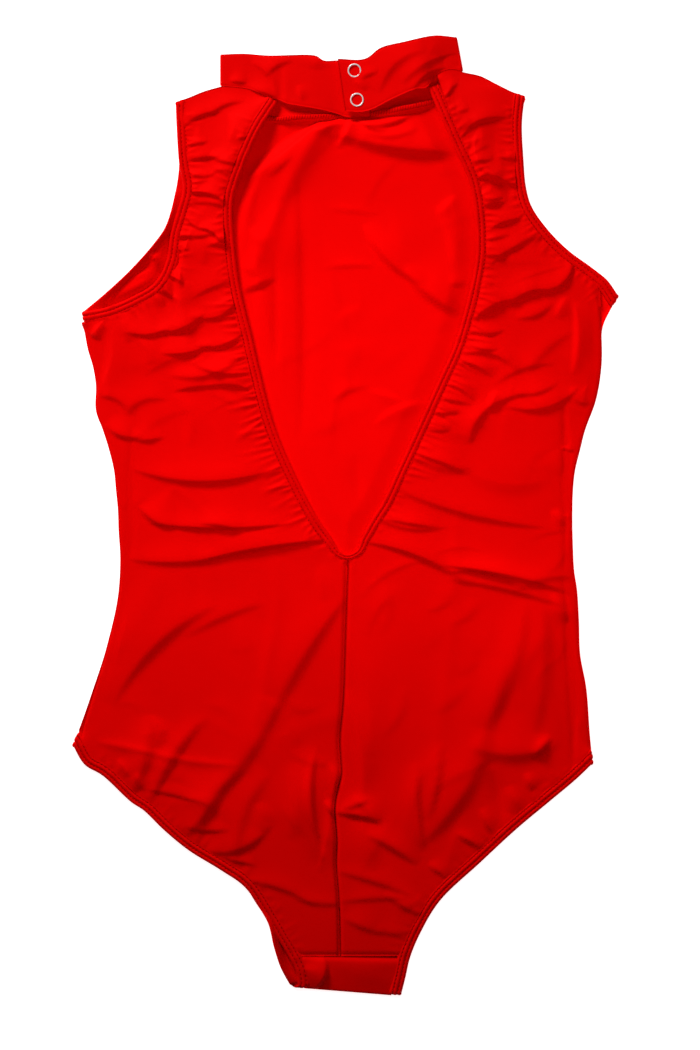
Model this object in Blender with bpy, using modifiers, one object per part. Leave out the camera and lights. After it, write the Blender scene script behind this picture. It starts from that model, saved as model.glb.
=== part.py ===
"""A sleeveless stretch leotard with a snapped mock neck and a keyhole back, laid flat with its back up.

Lengths here are millimetres, and add_mesh turns them into metres. X runs to the right of the laid garment,
Y runs towards its collar, and z = 0 is the surface that it lies on. Left means the side at -X.
Every piece of cloth is a wall. The front panel lies on the surface, and the back panels lie on the front.
"""

import math

import bpy
import numpy as np
from mathutils import Vector
from mathutils.geometry import delaunay_2d_cdt

OBJECT_NAME = "ballet_leotard"
MM = 0.001

# Walls and gaps
CLOTH = 1.2
COLLAR_CLOTH = 1.4
BAND_CLOTH = 2.0
BAND_WIDTH = 8.0
POINT_BAND_WIDTH = 4.4
POINT_REACH = 14.0
SEAM = 0.3
SEAM_FOLD = 2.0

# Undersides of the upper layer
ON_FRONT = CLOTH + SEAM
ON_BAND = BAND_CLOTH + SEAM
BESIDE_BAND = (BAND_CLOTH - CLOTH) / 2
GUSSET_EASE = 0.25
AIR_BETWEEN = 2.2
NECK_LIFT = 0.1
SETTLE_REACH = 30.0

# Mesh steps
PANEL_STEP = 12.5
FRONT_STEP = 22.0
BAND_STEP = 9.0
LEG_STEP = 12.0
SEAM_STEP = 10.0
FOLD_STEP = 9.0
CORNER_ROOM = 1.6
BESIDE_KEYHOLE = (4.5, 11.0, 19.0)
BESIDE_ARMHOLE = (4.5, 10.5)

# Outlines. Columns: x, y. Each edge runs from the collar end towards the crotch end.
SHOULDER_LEFT = [(-89, 309), (-101, 305.5), (-112, 301), (-122, 297.5)]
SHOULDER_RIGHT = [(84.5, 319.2), (97, 316.5), (108, 311), (120, 305), (129, 302)]
ARMHOLE_LEFT_FRONT = [
    (-122, 297.5), (-119, 275), (-119, 254), (-122.5, 232), (-129, 208),
    (-137, 196), (-153.5, 177.5), (-174.5, 158.5), (-189.5, 146.5),
]
ARMHOLE_LEFT_BACK = [
    (-122, 297.5), (-119, 275), (-119, 254), (-117, 235), (-121, 219), (-125.5, 204),
    (-129, 183), (-137, 168), (-152, 158.5), (-171, 150.5), (-189.5, 146.5),
]
ARMHOLE_RIGHT = [
    (129, 302), (127, 282), (128, 258), (130, 236), (134, 222.5), (146, 205.5),
    (160.5, 191), (177.5, 178.5), (188.5, 169.5), (196.5, 158),
]
SIDE_LEFT = [
    (-189.5, 146.5), (-186.5, 132), (-181.5, 107), (-179.5, 94), (-179.5, 76), (-169.5, 33),
    (-163.5, -10), (-162, -31.5), (-164, -60), (-169.5, -91), (-180, -124), (-190, -149), (-196, -164.5),
]
SIDE_RIGHT = [
    (196.5, 158), (190, 147), (185, 135), (184.5, 110), (180.5, 84), (172, 55), (167, 12),
    (167.5, -31.5), (167.5, -60), (169, -99), (173.5, -124), (176, -157), (178, -177.5),
]
BACK_SIDE_LEFT = SIDE_LEFT[:-3] + [(-181, -126), (-187.5, -147), (-190.5, -160), (-191, -172)]
BACK_SIDE_RIGHT = [(179, 178), (181.5, 172), (183.5, 155), (184, 140)] + SIDE_RIGHT[3:]
LEG_LEFT_FRONT = [
    (-196, -164.5), (-187.5, -178.5), (-174.5, -186.5), (-154, -204.5), (-142, -211), (-119, -234),
    (-89.5, -253.5), (-72, -267), (-65.5, -276.5), (-55.5, -292), (-51, -309.5), (-46, -325), (-39, -338.5),
]
LEG_LEFT_BACK = [
    (-196, -164.5), (-187.5, -178.5), (-174.5, -186.5), (-154, -204.5), (-142, -211), (-119, -234),
    (-89.5, -253.5), (-72, -267), (-55.5, -292), (-48.5, -304), (-40.5, -317.5), (-35.5, -328), (-34, -339),
]
LEG_RIGHT = [
    (178, -177.5), (166, -189), (147.5, -204.5), (123.5, -224.5), (97, -249), (68, -276.5),
    (54, -299.5), (46.5, -317.5), (43.5, -330.5), (40, -344.5),
]
CENTRE_BACK = [
    (2, -31.5), (0, -89), (-1.5, -132), (-4, -161), (-3, -185.5), (-5.5, -196.5), (-7.5, -208.5),
    (-6, -234.5), (-6.5, -249), (-4.5, -276.5), (-3.5, -316),
]
FRONT_NECK = [
    (-88.5, 309.5), (-71.5, 294), (-54, 286), (-32.5, 286.5), (-9, 287.5), (18.5, 289),
    (39.5, 292.5), (60.5, 297.5), (75.5, 307), (83.5, 320),
]
GUSSET_BACK_SEAM = [(-60, -316), (-23, -315), (15, -316), (60, -317)]
GUSSET_FRONT_SEAM = [(-90, -281), (90, -283)]

# Rows across the gusset. Columns: y at the left leg, y at the right leg.
GUSSET_BACK_ROW = (-316.2, -317.2)
GUSSET_FOLD_ROW = (-338.5, -343.5)
GUSSET_FRONT_ROW = (-281.5, -282.5)
GUSSET_TUCK_HEIGHT = 0.8
GUSSET_TUCK_SHARE = 0.22
GUSSET_TUCK_WIDTH = 0.12

# The keyhole's inner edge. Columns: x, y, underside of its band.
KEYHOLE = [
    (-48.5, 297.5, 2.5), (-61.5, 276.5, 2.9), (-74.5, 247, 3.4), (-80.5, 227, 3.7), (-80.5, 204, 3.9),
    (-76, 165.5, 3.6), (-68, 132, 3.3), (-61.5, 104, 3.0), (-50.5, 63.5, 2.7), (-31.5, 20.5, 2.4),
    (-19, -2.5, 2.3), (-10.5, -14.5, 2.3), (-3.5, -25.5, 2.3), (2, -27.5, 2.3), (8.5, -24, 2.3),
    (12, -15, 2.3), (18, -3.5, 2.3), (27, 11, 2.4), (37, 32.5, 2.6), (53, 67, 2.9), (67, 98, 3.2),
    (77.5, 121, 3.5), (84, 141.5, 3.8), (91, 169.5, 4.1), (94, 191, 4.3), (92.5, 222.5, 4.4),
    (88.5, 241.5, 4.4), (77.5, 266, 4.2), (68, 287.5, 3.8), (59.5, 307.5, 3.4),
]
KEYHOLE_POINT = (2, -27.5)
NECK_SEAM_LEFT = (-9.5, 2.8)
NECK_SEAM_RIGHT = (5.6, 7.4)

# The collar's two back halves. Columns: x, y, underside. Both run from the free end to the side fold.
COLLAR_LEFT_LOW = [
    (17.5, 286.5, 2.7), (1, 287, 2.7), (-5.5, 289, 2.7), (-17.5, 292, 2.7), (-32.5, 294.5, 2.6),
    (-42.5, 296.5, 2.4), (-47.5, 299, 2.3), (-57, 301.5, 2.1), (-68.5, 307, 1.9), (-88.5, 309.5, 1.7),
]
COLLAR_LEFT_TOP = [
    (17.5, 327, 2.7), (-6, 327.5, 2.7), (-15.5, 327.5, 2.7), (-21.5, 331, 2.6),
    (-55, 331, 2.1), (-72.5, 332.5, 1.9), (-88.5, 332, 1.7),
]
COLLAR_RIGHT_LOW = [
    (0, 290.5, 7.0), (11, 290, 7.0), (18.5, 291.5, 7.0), (33.5, 299, 6.6), (51, 306.5, 5.0),
    (58, 307.5, 4.0), (63.5, 315, 3.2), (70, 320, 2.6), (77.5, 321.5, 2.1), (83.5, 320, 1.7),
]
COLLAR_RIGHT_TOP = [
    (-5.5, 328, 7.0), (14, 328, 7.0), (25.5, 336, 6.4), (42.5, 340.5, 4.9), (61, 345, 3.0),
    (67.5, 345.5, 2.3), (79, 344.5, 1.7),
]
COLLAR_FRONT_TOP = [
    (-88.5, 332), (-55, 329), (-15, 326), (15, 326), (42, 338), (67, 343.5), (79, 344.5),
]
COLLAR_STATIONS = 17
NECK_SEAM_STATION = 9
COLLAR_ROWS = 6

# Turned edges that run all round an opening.
# Columns: front edge, back edge, side of the cloth, fold line at each end as a direction, mesh step.
RINGS = {
    "armhole_binding_left": (ARMHOLE_LEFT_FRONT, ARMHOLE_LEFT_BACK, 1, (10, 3.6), (3, -14.5), BAND_STEP),
    "armhole_binding_right": (ARMHOLE_RIGHT, ARMHOLE_RIGHT, -1, (-9, 3), (-6.5, -11), BAND_STEP),
    "leg_binding_left": (LEG_LEFT_FRONT, LEG_LEFT_BACK, 1, (6, 15.5), (1, -0.07), LEG_STEP),
    "leg_binding_right": (LEG_RIGHT, LEG_RIGHT, -1, (-2, 20.5), (-1, 0.07), LEG_STEP),
}

# Folds of cloth. Columns: start x, start y, end x, end y, sideways bow, half width, height.
FOLDS_IN_FRONT = [
    (-31, 286, -68, 240, 5, 5, 2.2), (-10, 278, -36, 190, -5, 7, 2.2), (8, 283, 22, 272, -5, 4, 1.4),
    (10, 270, 72, 268, 14, 5, 1.6), (-4, 262, 60, 250, 8, 7, 1.0), (-62, 170, -74, 158, 0, 4, 1.0),
    (28, 180, 70, 148, -4, 6, 1.2), (24, 68, 58, 84, 3, 4, 1.0), (70, 232, 84, 214, 0, 5, 0.9),
]
FOLDS_ON_LEFT = [
    (-112, 283, -84, 296, 2, 4, 1.9), (-112, 257, -78, 255, 2, 4, 2.2), (-112, 236, -88, 228, -2, 4, 2.2),
    (-116, 216, -90, 196, 3, 4, 2.2), (-112, 200, -116, 148, -5, 7, 2.4),
    (-154, 140, -78, 158, -14, 7, 3.2), (-122, 117, -79, 130, -4, 5, 2.4), (-128, 92, -72, 96, 8, 7, 2.4),
    (-168, 140, -160, 92, 5, 8, 2.2), (-120, 30, -66, 28, -3, 10, 2.4), (-122, -6, -50, -8, -5, 8, 2.2),
    (-20, -18, -120, -32, -5, 7, 2.4), (-160, -116, -104, -60, 6, 12, 2.4),
    (-6, -72, -72, -172, -6, 9, 3.0), (-72, -172, -110, -224, 5, 8, 2.7),
    (-140, -196, -122, -150, 3, 5, 2.4), (-124, -206, -92, -150, -4, 5, 2.2),
    (-26, -176, -16, -230, 5, 5, 1.9),
]
FOLDS_ON_RIGHT = [
    (88, 276, 114, 286, 3, 4, 2.4), (98, 266, 110, 244, -4, 4, 2.2), (100, 254, 124, 254, -3, 4, 2.2),
    (104, 228, 130, 236, 2, 4, 2.2), (106, 206, 128, 214, 2, 4, 2.2),
    (160, 178, 96, 146, 8, 6, 3.2), (166, 148, 165, 98, 3, 5, 2.4), (92, 130, 128, 142, -4, 6, 2.4),
    (90, 104, 134, 106, -4, 7, 2.7), (108, 88, 88, 58, 6, 4, 2.7), (106, 90, 150, 98, -5, 5, 2.2),
    (50, 44, 84, 36, 4, 6, 2.2), (28, 0, 66, -8, -3, 6, 2.2), (20, -18, 82, -44, 4, 6, 2.7),
    (82, -36, 150, -42, -8, 7, 2.4), (162, -44, 164, -150, 4, 4, 1.6),
    (142, -168, 52, -232, -26, 8, 3.5), (118, -70, 78, -180, 6, 12, 2.2), (20, -130, 34, -224, -8, 8, 2.2),
]
FOLDS_IN_COLLAR = [
    (-80, 325, -52, 306, 3, 4, 0.9), (-56, 326, -34, 304, 4, 5, 0.9), (-30, 322, -24, 298, 2, 4, 0.7),
    (26, 312, 50, 334, 4, 5, 1.1), (48, 316, 74, 336, -4, 5, 1.3),
]

# Gathers along the bands. Columns: first share of the edge, last share, count, reach, height.
GATHERS_KEYHOLE_LEFT = [(0.04, 0.22, 12, 22, 2.3), (0.22, 0.50, 22, 26, 2.6)]
GATHERS_KEYHOLE_RIGHT = [(0.50, 0.78, 22, 26, 2.6), (0.78, 0.96, 12, 22, 2.3)]
GATHERS_ARMHOLE_LEFT = [(0.03, 0.50, 12, 14, 1.8)]
GATHERS_ARMHOLE_RIGHT = [(0.03, 0.50, 11, 14, 1.8), (0.50, 0.92, 7, 22, 1.8)]

# Snaps on the lapped ends. Columns: name, x, y. Sizes are diameters and heights.
SNAPS = [("upper", 6.6, 319.5), ("lower", 8.4, 298.5)]
SNAP_DIAMETER = 10.4
SNAP_RING_WIDTH = 1.4
SNAP_RING_HEIGHT = 0.7
SNAP_CHAMFER = 0.25
SNAP_FLANGE_INSET = 0.6
SOCKET_HEIGHT = 1.5
SOCKET_HOLE = 4.0
STUD_FLANGE = 0.5
STUD_KNOB = 3.2
SNAP_STEPS = 18
UNDER_END = 2.7
OVER_END = 7.0

RED = (0.78, 0.004, 0.003, 1)
SILVER = (0.82, 0.82, 0.80, 1)


# Curves in plan

def resample(points, step=None, count=None):
    """Points at even distances along a polyline, measured in plan."""
    gaps = np.linalg.norm(np.diff(points[:, :2], axis=0), axis=1)
    along = np.concatenate([[0], np.cumsum(gaps)])
    if count is None:
        count = max(2, round(along[-1] / step) + 1)
    places = np.linspace(0, along[-1], count)
    return np.column_stack([np.interp(places, along, column) for column in points.T])


def smooth_curve(rows, step=None, count=None):
    """A curve through every row, centripetal Catmull-Rom, resampled evenly."""
    rows = np.array(rows, float)
    if len(rows) == 2:
        return resample(rows, step, count)
    ends = np.vstack([2 * rows[0] - rows[1], rows, 2 * rows[-1] - rows[-2]])
    pieces = []
    for p0, p1, p2, p3 in zip(ends, ends[1:], ends[2:], ends[3:]):
        t1 = math.sqrt(np.linalg.norm(p1 - p0))
        t2 = t1 + math.sqrt(np.linalg.norm(p2 - p1))
        t3 = t2 + math.sqrt(np.linalg.norm(p3 - p2))
        t = np.linspace(t1, t2, 9)[:-1, None]
        a1 = p0 * (t1 - t) / t1 + p1 * t / t1
        a2 = p1 * (t2 - t) / (t2 - t1) + p2 * (t - t1) / (t2 - t1)
        a3 = p2 * (t3 - t) / (t3 - t2) + p3 * (t - t2) / (t3 - t2)
        b1 = a1 * (t2 - t) / t2 + a2 * t / t2
        b2 = a2 * (t3 - t) / (t3 - t1) + a3 * (t - t1) / (t3 - t1)
        pieces.append(b1 * (t2 - t) / (t2 - t1) + b2 * (t - t1) / (t2 - t1))
    return resample(np.vstack(pieces + [rows[-1:]]), step, count)


def shifted(curve, distance):
    """The curve moved sideways in plan, to the left of its travel where distance is above 0."""
    travel = np.gradient(curve[:, :2], axis=0)
    travel /= np.linalg.norm(travel, axis=1)[:, None]
    moved = curve.copy()
    moved[:, 0] -= travel[:, 1] * distance
    moved[:, 1] += travel[:, 0] * distance
    return moved


def shortened(curve, cut):
    """The curve without the first and last stretch of length cut."""
    fine = resample(curve, step=0.5)
    skip = round(cut / 0.5)
    return resample(fine[skip:len(fine) - skip], count=len(curve))


def stretched(curve, reach):
    """The curve run on at both ends in its own direction."""
    first_step = curve[0] - curve[1]
    last_step = curve[-1] - curve[-2]
    first = curve[0] + first_step * reach / np.linalg.norm(first_step[:2])
    last = curve[-1] + last_step * reach / np.linalg.norm(last_step[:2])
    return np.vstack([first, curve, last])


def crossing(a, b):
    """Where two plan polylines cross, as places along each. If they don't, the second's first own point."""
    p, r = a[:-1, None, :2], np.diff(a[:, :2], axis=0)[:, None]
    q, s = b[None, :-1, :2], np.diff(b[:, :2], axis=0)[None]
    turn = r[..., 0] * s[..., 1] - r[..., 1] * s[..., 0]
    turn = np.where(abs(turn) < 1e-9, 1e-9, turn)
    gap = q - p
    along_a = (gap[..., 0] * s[..., 1] - gap[..., 1] * s[..., 0]) / turn
    along_b = (gap[..., 0] * r[..., 1] - gap[..., 1] * r[..., 0]) / turn
    hit = (along_a >= 0) & (along_a < 1) & (along_b >= 0) & (along_b < 1)
    if not hit.any():
        return len(a) - 2, 1
    i, j = np.argwhere(hit)[-1]
    return i + along_a[i, j], j + along_b[i, j]


def outline_of(edges, reach=14.0, closest=1.0):
    """One closed outline from edges in order, each cut where it crosses the next."""
    long = [stretched(edge[:, :2], reach) for edge in edges]
    cuts = [crossing(a, b) for a, b in zip(long, long[1:] + long[:1])]
    outline = []
    for k, edge in enumerate(long):
        start, end = cuts[k - 1][1], cuts[k][0]
        i = int(start)
        corner = edge[i] + (edge[i + 1] - edge[i]) * (start - i)
        inside = edge[i + 1:int(end) + 1]
        last = edge[int(end)] + (edge[int(end) + 1] - edge[int(end)]) * (end - int(end))
        clear = (np.linalg.norm(inside - corner, axis=1) > closest) & (
            np.linalg.norm(inside - last, axis=1) > closest
        )
        outline += [corner, *inside[clear]]
    return np.array(outline)


# Heights over the plan

def nearest(points, curve):
    """For each point, its distance to the curve and the share of the curve's length there."""
    fine = resample(curve, step=1.5)
    gaps = np.linalg.norm(points[:, None, :2] - fine[None, :, :2], axis=2)
    index = gaps.argmin(axis=1)
    return gaps[np.arange(len(points)), index], index / (len(fine) - 1), fine[index]


def settled(points, edges, middle):
    """Heights that meet each edge's own, each edge weighted by the inverse square of its distance."""
    weights = np.full(len(points), 1 / SETTLE_REACH ** 2)
    total = weights * middle
    for curve, height in edges:
        gap, _, foot = nearest(points, curve)
        here = foot[:, 2] + height if curve.shape[1] > 2 else height
        weight = 1 / (gap ** 2 + 0.05)
        total = total + weight * here
        weights = weights + weight
    return total / weights


def fold_line(row, count):
    """The crest of a fold: a straight run bowed sideways as a parabola."""
    x0, y0, x1, y1, bow, _, _ = row
    t = np.linspace(0, 1, count)
    length = math.hypot(x1 - x0, y1 - y0)
    side = 4 * bow * t * (1 - t) / length
    x = x0 + (x1 - x0) * t - (y1 - y0) * side
    y = y0 + (y1 - y0) * t + (x1 - x0) * side
    return np.column_stack([x, y])


def folded(points, rows):
    """Height of the folds: each a soft ridge, height * exp(-(distance / half width)^2)."""
    height = np.zeros(len(points))
    for row in rows:
        crest = fold_line(row, 40)
        gap = np.linalg.norm(points[:, None, :2] - crest[None], axis=2).min(axis=1)
        height = np.maximum(height, row[6] * np.exp(-((gap / row[5]) ** 2)))
    return height


def fold_points(rows):
    """Points along each crest and along both feet of it, for the mesh to follow."""
    found = []
    for row in rows:
        length = math.hypot(row[2] - row[0], row[3] - row[1])
        crest = fold_line(row, max(3, round(length / FOLD_STEP) + 1))
        found += [crest, shifted(crest, 1.25 * row[5]), shifted(crest, -1.25 * row[5])]
    return np.vstack(found)


def gathered(points, curve, rows):
    """Height of the gathers: sin^2 along the edge, by turns a half lower and shorter.

    They are held low in the seam, full height a few millimetres from it, and fade out at their reach.
    """
    gap, share, _ = nearest(points, curve)
    height = np.zeros(len(points))
    for first, last, count, reach, high in rows:
        phase = (share - first) / (last - first) * count
        number = np.floor(phase)
        reach_here = reach * (0.75 + 0.25 * np.sin(2.1 * number))
        high_here = high * (0.75 + 0.25 * np.cos(3.7 * number))
        fade = np.clip(1 - gap / reach_here, 0, 1) * np.clip(0.3 + gap / 6, 0, 1)
        inside = (phase > 0) & (phase < count)
        height += inside * high_here * np.sin(math.pi * phase) ** 2 * fade
    return height


def gather_edge(curve, rows, inner, offsets):
    """The edge with a point on each crest and hollow of its gathers, and rows of such points beside it."""
    gaps = np.linalg.norm(np.diff(curve[:, :2], axis=0), axis=1)
    along = np.concatenate([[0], np.cumsum(gaps)])
    shares = [np.linspace(first, last, 2 * count + 1) for first, last, count, _, _ in rows]
    crests = np.unique(np.round(np.concatenate(shares) * along[-1], 2))
    clear = abs(crests[:, None] - along[None]).min(axis=1) > CORNER_ROOM
    places = np.sort(np.concatenate([along, crests[clear]]))
    edge = np.column_stack([np.interp(places, along, column) for column in curve.T])
    fine = resample(curve, step=0.5)
    index = np.round(crests / along[-1] * (len(fine) - 1)).astype(int)
    beside = [shifted(fine, inner * offset)[index] for offset in offsets]
    return edge, np.vstack(beside)[:, :2]


# Solids

def add_mesh(name, points, faces, material):
    """A mesh object from millimetres, turned right side out where its volume comes out below 0."""
    points = np.asarray(points, float) * MM
    volume = 0
    for face in faces:
        for k in range(1, len(face) - 1):
            volume += np.dot(points[face[0]], np.cross(points[face[k]], points[face[k + 1]]))
    if volume < 0:
        faces = [face[::-1] for face in faces]
    mesh = bpy.data.meshes.new(name)
    mesh.from_pydata(points.tolist(), [], faces)
    mesh.materials.append(material)
    mesh.shade_smooth()
    mesh.set_sharp_from_angle(angle=math.radians(50))
    obj = bpy.data.objects.new(name, mesh)
    pieces.objects.link(obj)
    return obj


def inside_outline(points, outline):
    """Whether each point is inside a closed plan outline, by counting crossings."""
    a, b = outline, np.roll(outline, -1, axis=0)
    x, y = points[:, None, 0], points[:, None, 1]
    spans = (a[None, :, 1] > y) != (b[None, :, 1] > y)
    rise = np.where(a[:, 1] == b[:, 1], 1e-9, b[:, 1] - a[:, 1])
    cut = a[None, :, 0] + (y - a[None, :, 1]) * ((b[:, 0] - a[:, 0]) / rise)[None]
    return (spans & (x < cut)).sum(axis=1) % 2 == 1


def panel_points(outline, special, step, closest=4.0):
    """The outline's points, then the special ones and a staggered grid, each where there is room."""
    kept = np.array(outline)
    border = resample(np.vstack([outline, outline[:1]]), step=2.0)
    low, high = outline.min(axis=0), outline.max(axis=0)
    x, y = np.meshgrid(np.arange(low[0], high[0], step), np.arange(low[1], high[1], step * 0.87))
    x[1::2] += step / 2
    grid = np.column_stack([x.ravel(), y.ravel()])
    for candidates, room in ((special, closest), (grid, 0.72 * step)):
        candidates = candidates[inside_outline(candidates, outline)]
        edge_gap = np.linalg.norm(candidates[:, None] - border[None], axis=2).min(axis=1)
        for point in candidates[edge_gap > min(room, 5.0) * 0.75]:
            if np.linalg.norm(kept - point, axis=1).min() > room:
                kept = np.vstack([kept, point])
    return kept


def add_panel(name, outline, special, underside, material, step=PANEL_STEP):
    """A panel of cloth: triangles between its points in plan, CLOTH thick above its underside's height."""
    corners = [Vector(point) for point in panel_points(outline, special, step).tolist()]
    border = [(k, (k + 1) % len(outline)) for k in range(len(outline))]
    plan, _, faces, _, _, _ = delaunay_2d_cdt(corners, border, [], 1, 1e-4)
    plan = np.array([tuple(point) for point in plan])
    low = underside(plan)
    count = len(plan)
    points = np.vstack([np.column_stack([plan, low + CLOTH]), np.column_stack([plan, low])])
    upper = []
    for a, b, c in faces:
        turn = np.cross(plan[b] - plan[a], plan[c] - plan[a])
        upper.append((a, b, c) if turn > 0 else (a, c, b))
    sides = {(face[k], face[(k + 1) % 3]) for face in upper for k in range(3)}
    rim = [(b, a, a + count, b + count) for a, b in sides if (b, a) not in sides]
    lower = [tuple(k + count for k in face[::-1]) for face in upper]
    return add_mesh(name, points, upper + lower + rim, material)


def add_sheet(name, outer, inner, closed, material):
    """A wall between two grids of points, outer and inner, closed on itself or capped along its length."""
    length, width, _ = outer.shape
    points = np.vstack([outer.reshape(-1, 3), inner.reshape(-1, 3)])
    half = length * width

    def at(i, j):
        return (i % length) * width + j

    faces = []
    for i in range(length if closed else length - 1):
        for j in range(width - 1):
            square = (at(i, j), at(i + 1, j), at(i + 1, j + 1), at(i, j + 1))
            faces += [square, tuple(k + half for k in square[::-1])]
        for j, (a, b) in ((0, (i + 1, i)), (width - 1, (i, i + 1))):
            faces.append((at(a, j), at(b, j), at(b, j) + half, at(a, j) + half))
    if not closed:
        for i, step in ((0, 1), (length - 1, -1)):
            for j in range(width - 1):
                a, b = (j, j + 1) if step > 0 else (j + 1, j)
                faces.append((at(i, a), at(i, b), at(i, b) + half, at(i, a) + half))
    return add_mesh(name, points, faces, material)


def turned_over(lower, upper, outward, wall, top, angles=(-45, 0, 45)):
    """Sections of cloth that turn from a lower layer at z = 0 up into one whose top is given."""
    middle = top / 2
    outer, inner = [], []
    for angle in np.radians(angles):
        share = (angle + math.pi / 2) / math.pi
        plan = lower * (1 - share) + upper * share
        for found, radius in ((outer, middle), (inner, middle - wall)):
            lift = np.full(len(plan), middle + radius * math.sin(angle))
            found.append(np.column_stack([plan + outward * radius * math.cos(angle), lift]))
    return outer, inner


def mitred(edge, inner, direction):
    """The inner edge of a band with its first point on the line that leaves the edge's first point."""
    direction = np.array(direction, float) / math.hypot(*direction)
    travel = inner[0, :2] - inner[1, :2]
    gap = edge[0, :2] - inner[0, :2]
    turn = travel[0] * direction[1] - travel[1] * direction[0]
    share = (gap[0] * direction[1] - gap[1] * direction[0]) / turn
    ended = inner.copy()
    ended[0, :2] += travel * share
    return ended


def band_edges(rows, side, start, end, step):
    """A band's outer and inner edge, ended along the fold lines that leave its two ends."""
    edge = shortened(smooth_curve(rows, step), SEAM_FOLD)
    inner = shifted(edge, side * BAND_WIDTH)
    inner = mitred(edge, inner, start)
    inner = mitred(edge[::-1], inner[::-1], end)[::-1]
    return edge, inner


def beside_ring(name, layer):
    """The edge of the panel beside a ring, a seam away from it: layer 0 is the front, 1 the back."""
    rows = RINGS[name]
    side, start, end, step = rows[2:]
    _, inner = band_edges(rows[layer], side, start, end, step)
    return shifted(inner, side * SEAM)


def add_ring(name, material):
    """A turned edge round an opening: along the front, over the fold, back along the back, over again."""
    front, back, side, start, end, step = RINGS[name]
    outer, inner = [], []
    sections = [
        np.stack(band_edges(rows, side, start, end, step), axis=1) for rows in (front, back)
    ]
    for section in sections[0]:
        outer.append(np.column_stack([section, [0, 0]]))
        inner.append(np.column_stack([section, [BAND_CLOTH] * 2]))
    turns = []
    for index, direction in ((-1, end), (0, start)):
        across = np.array([direction[1], -direction[0]], float) / math.hypot(*direction)
        ahead = sections[0][index, 0] - sections[0][-2 if index else 1, 0]
        turns.append(across if across @ ahead > 0 else -across)
    top = ON_BAND + BAND_CLOTH
    over = turned_over(sections[0][-1], sections[1][-1], turns[0], BAND_CLOTH, top)
    outer += over[0]
    inner += over[1]
    for section in sections[1][::-1]:
        outer.append(np.column_stack([section, [top] * 2]))
        inner.append(np.column_stack([section, [ON_BAND] * 2]))
    over = turned_over(sections[0][0], sections[1][0], turns[1], BAND_CLOTH, top)
    outer += over[0][::-1]
    inner += over[1][::-1]
    return add_sheet(name, np.array(outer), np.array(inner), True, material)


# The garment's pieces

def keyhole_edge():
    """The keyhole's inner edge and, beside it, the outer edge of its band, which narrows at the point."""
    inner = smooth_curve(KEYHOLE, BAND_STEP)
    gap = np.linalg.norm(inner[:, :2] - KEYHOLE_POINT, axis=1)
    width = BAND_WIDTH - (BAND_WIDTH - POINT_BAND_WIDTH) * np.exp(-((gap / POINT_REACH) ** 2))
    outer = inner + (shifted(inner, -1) - inner) * width[:, None]
    outer = mitred(inner, outer, NECK_SEAM_LEFT)
    outer = mitred(inner[::-1], outer[::-1], NECK_SEAM_RIGHT)[::-1]
    return inner, outer


def add_keyhole_binding(material):
    """The turned edge of the keyhole, from one end of the neck seam round the point to the other."""
    inner, outer = keyhole_edge()
    low = np.stack([inner, outer], axis=1)
    return add_sheet("keyhole_binding", low + [0, 0, BAND_CLOTH], low, False, material)


def keyhole_panel_edge():
    """The back panels' edge along the keyhole, a seam away from the band."""
    _, outer = keyhole_edge()
    return shifted(outer, -SEAM)


def back_heights(points, side_edge, armhole, leg, neck, folds, gathers):
    """The back panel's underside: settled between its edges, with its folds and gathers."""
    beside_upper_band = ON_BAND + BESIDE_BAND
    edges = [
        (keyhole_panel_edge(), BESIDE_BAND),
        (armhole, beside_upper_band),
        (leg, beside_upper_band),
        (side_edge, ON_FRONT),
        (neck, NECK_LIFT),
        (smooth_curve(GUSSET_BACK_SEAM, SEAM_STEP), beside_upper_band),
    ]
    height = settled(points, edges, AIR_BETWEEN)
    rim, _, _ = nearest(points, side_edge)
    height = height + folded(points, folds) * np.clip(rim / 8, 0, 1)
    for curve, rows in gathers:
        height = height + gathered(points, curve, rows)
    return np.maximum(height, ON_FRONT)


def back_panel_edges(side, where, side_rows, collar_rows, shoulder_rows):
    """The edges of one back panel in order, each a seam away from the piece beside it."""
    collar_edge = smooth_curve(collar_rows, count=COLLAR_STATIONS)
    return {
        "neck": shifted(collar_edge, side * SEAM)[NECK_SEAM_STATION:],
        "shoulder": smooth_curve(shoulder_rows, SEAM_STEP),
        "armhole": beside_ring("armhole_binding_" + where, 1),
        "side": smooth_curve(side_rows, 2 * SEAM_STEP),
        "leg": beside_ring("leg_binding_" + where, 1),
        "gusset": smooth_curve(GUSSET_BACK_SEAM, SEAM_STEP)[::side] + [0, SEAM],
        "centre": shifted(smooth_curve(CENTRE_BACK, SEAM_STEP), -side * SEAM / 2)[::-1],
    }


def add_back_panel(name, side, edges, folds, keyhole_gathers, armhole_gathers, material):
    """One back panel: strap, keyhole side, hip and seat in one piece."""
    keyhole = keyhole_panel_edge()
    keyhole_points, beside_keyhole = gather_edge(keyhole, keyhole_gathers, -1, BESIDE_KEYHOLE)
    armhole_points, beside_armhole = gather_edge(edges["armhole"], armhole_gathers, side, BESIDE_ARMHOLE)
    gap = np.linalg.norm(keyhole_points[:, :2] - KEYHOLE_POINT, axis=1)
    if side > 0:
        keyhole_points = keyhole_points[:gap.argmin() + 3][::-1]
    else:
        keyhole_points = keyhole_points[gap.argmin() - 2:]
    outline = outline_of([
        edges["neck"][:, :2], edges["shoulder"], armhole_points, edges["side"], edges["leg"],
        edges["gusset"], edges["centre"], keyhole_points,
    ])
    special = np.vstack([beside_keyhole, beside_armhole, fold_points(folds)])
    gathers = [(keyhole, keyhole_gathers), (edges["armhole"], armhole_gathers)]

    def underside(points):
        return back_heights(
            points, edges["side"], edges["armhole"], edges["leg"], edges["neck"], folds, gathers
        )

    return add_panel(name, outline, special, underside, material)


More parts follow.
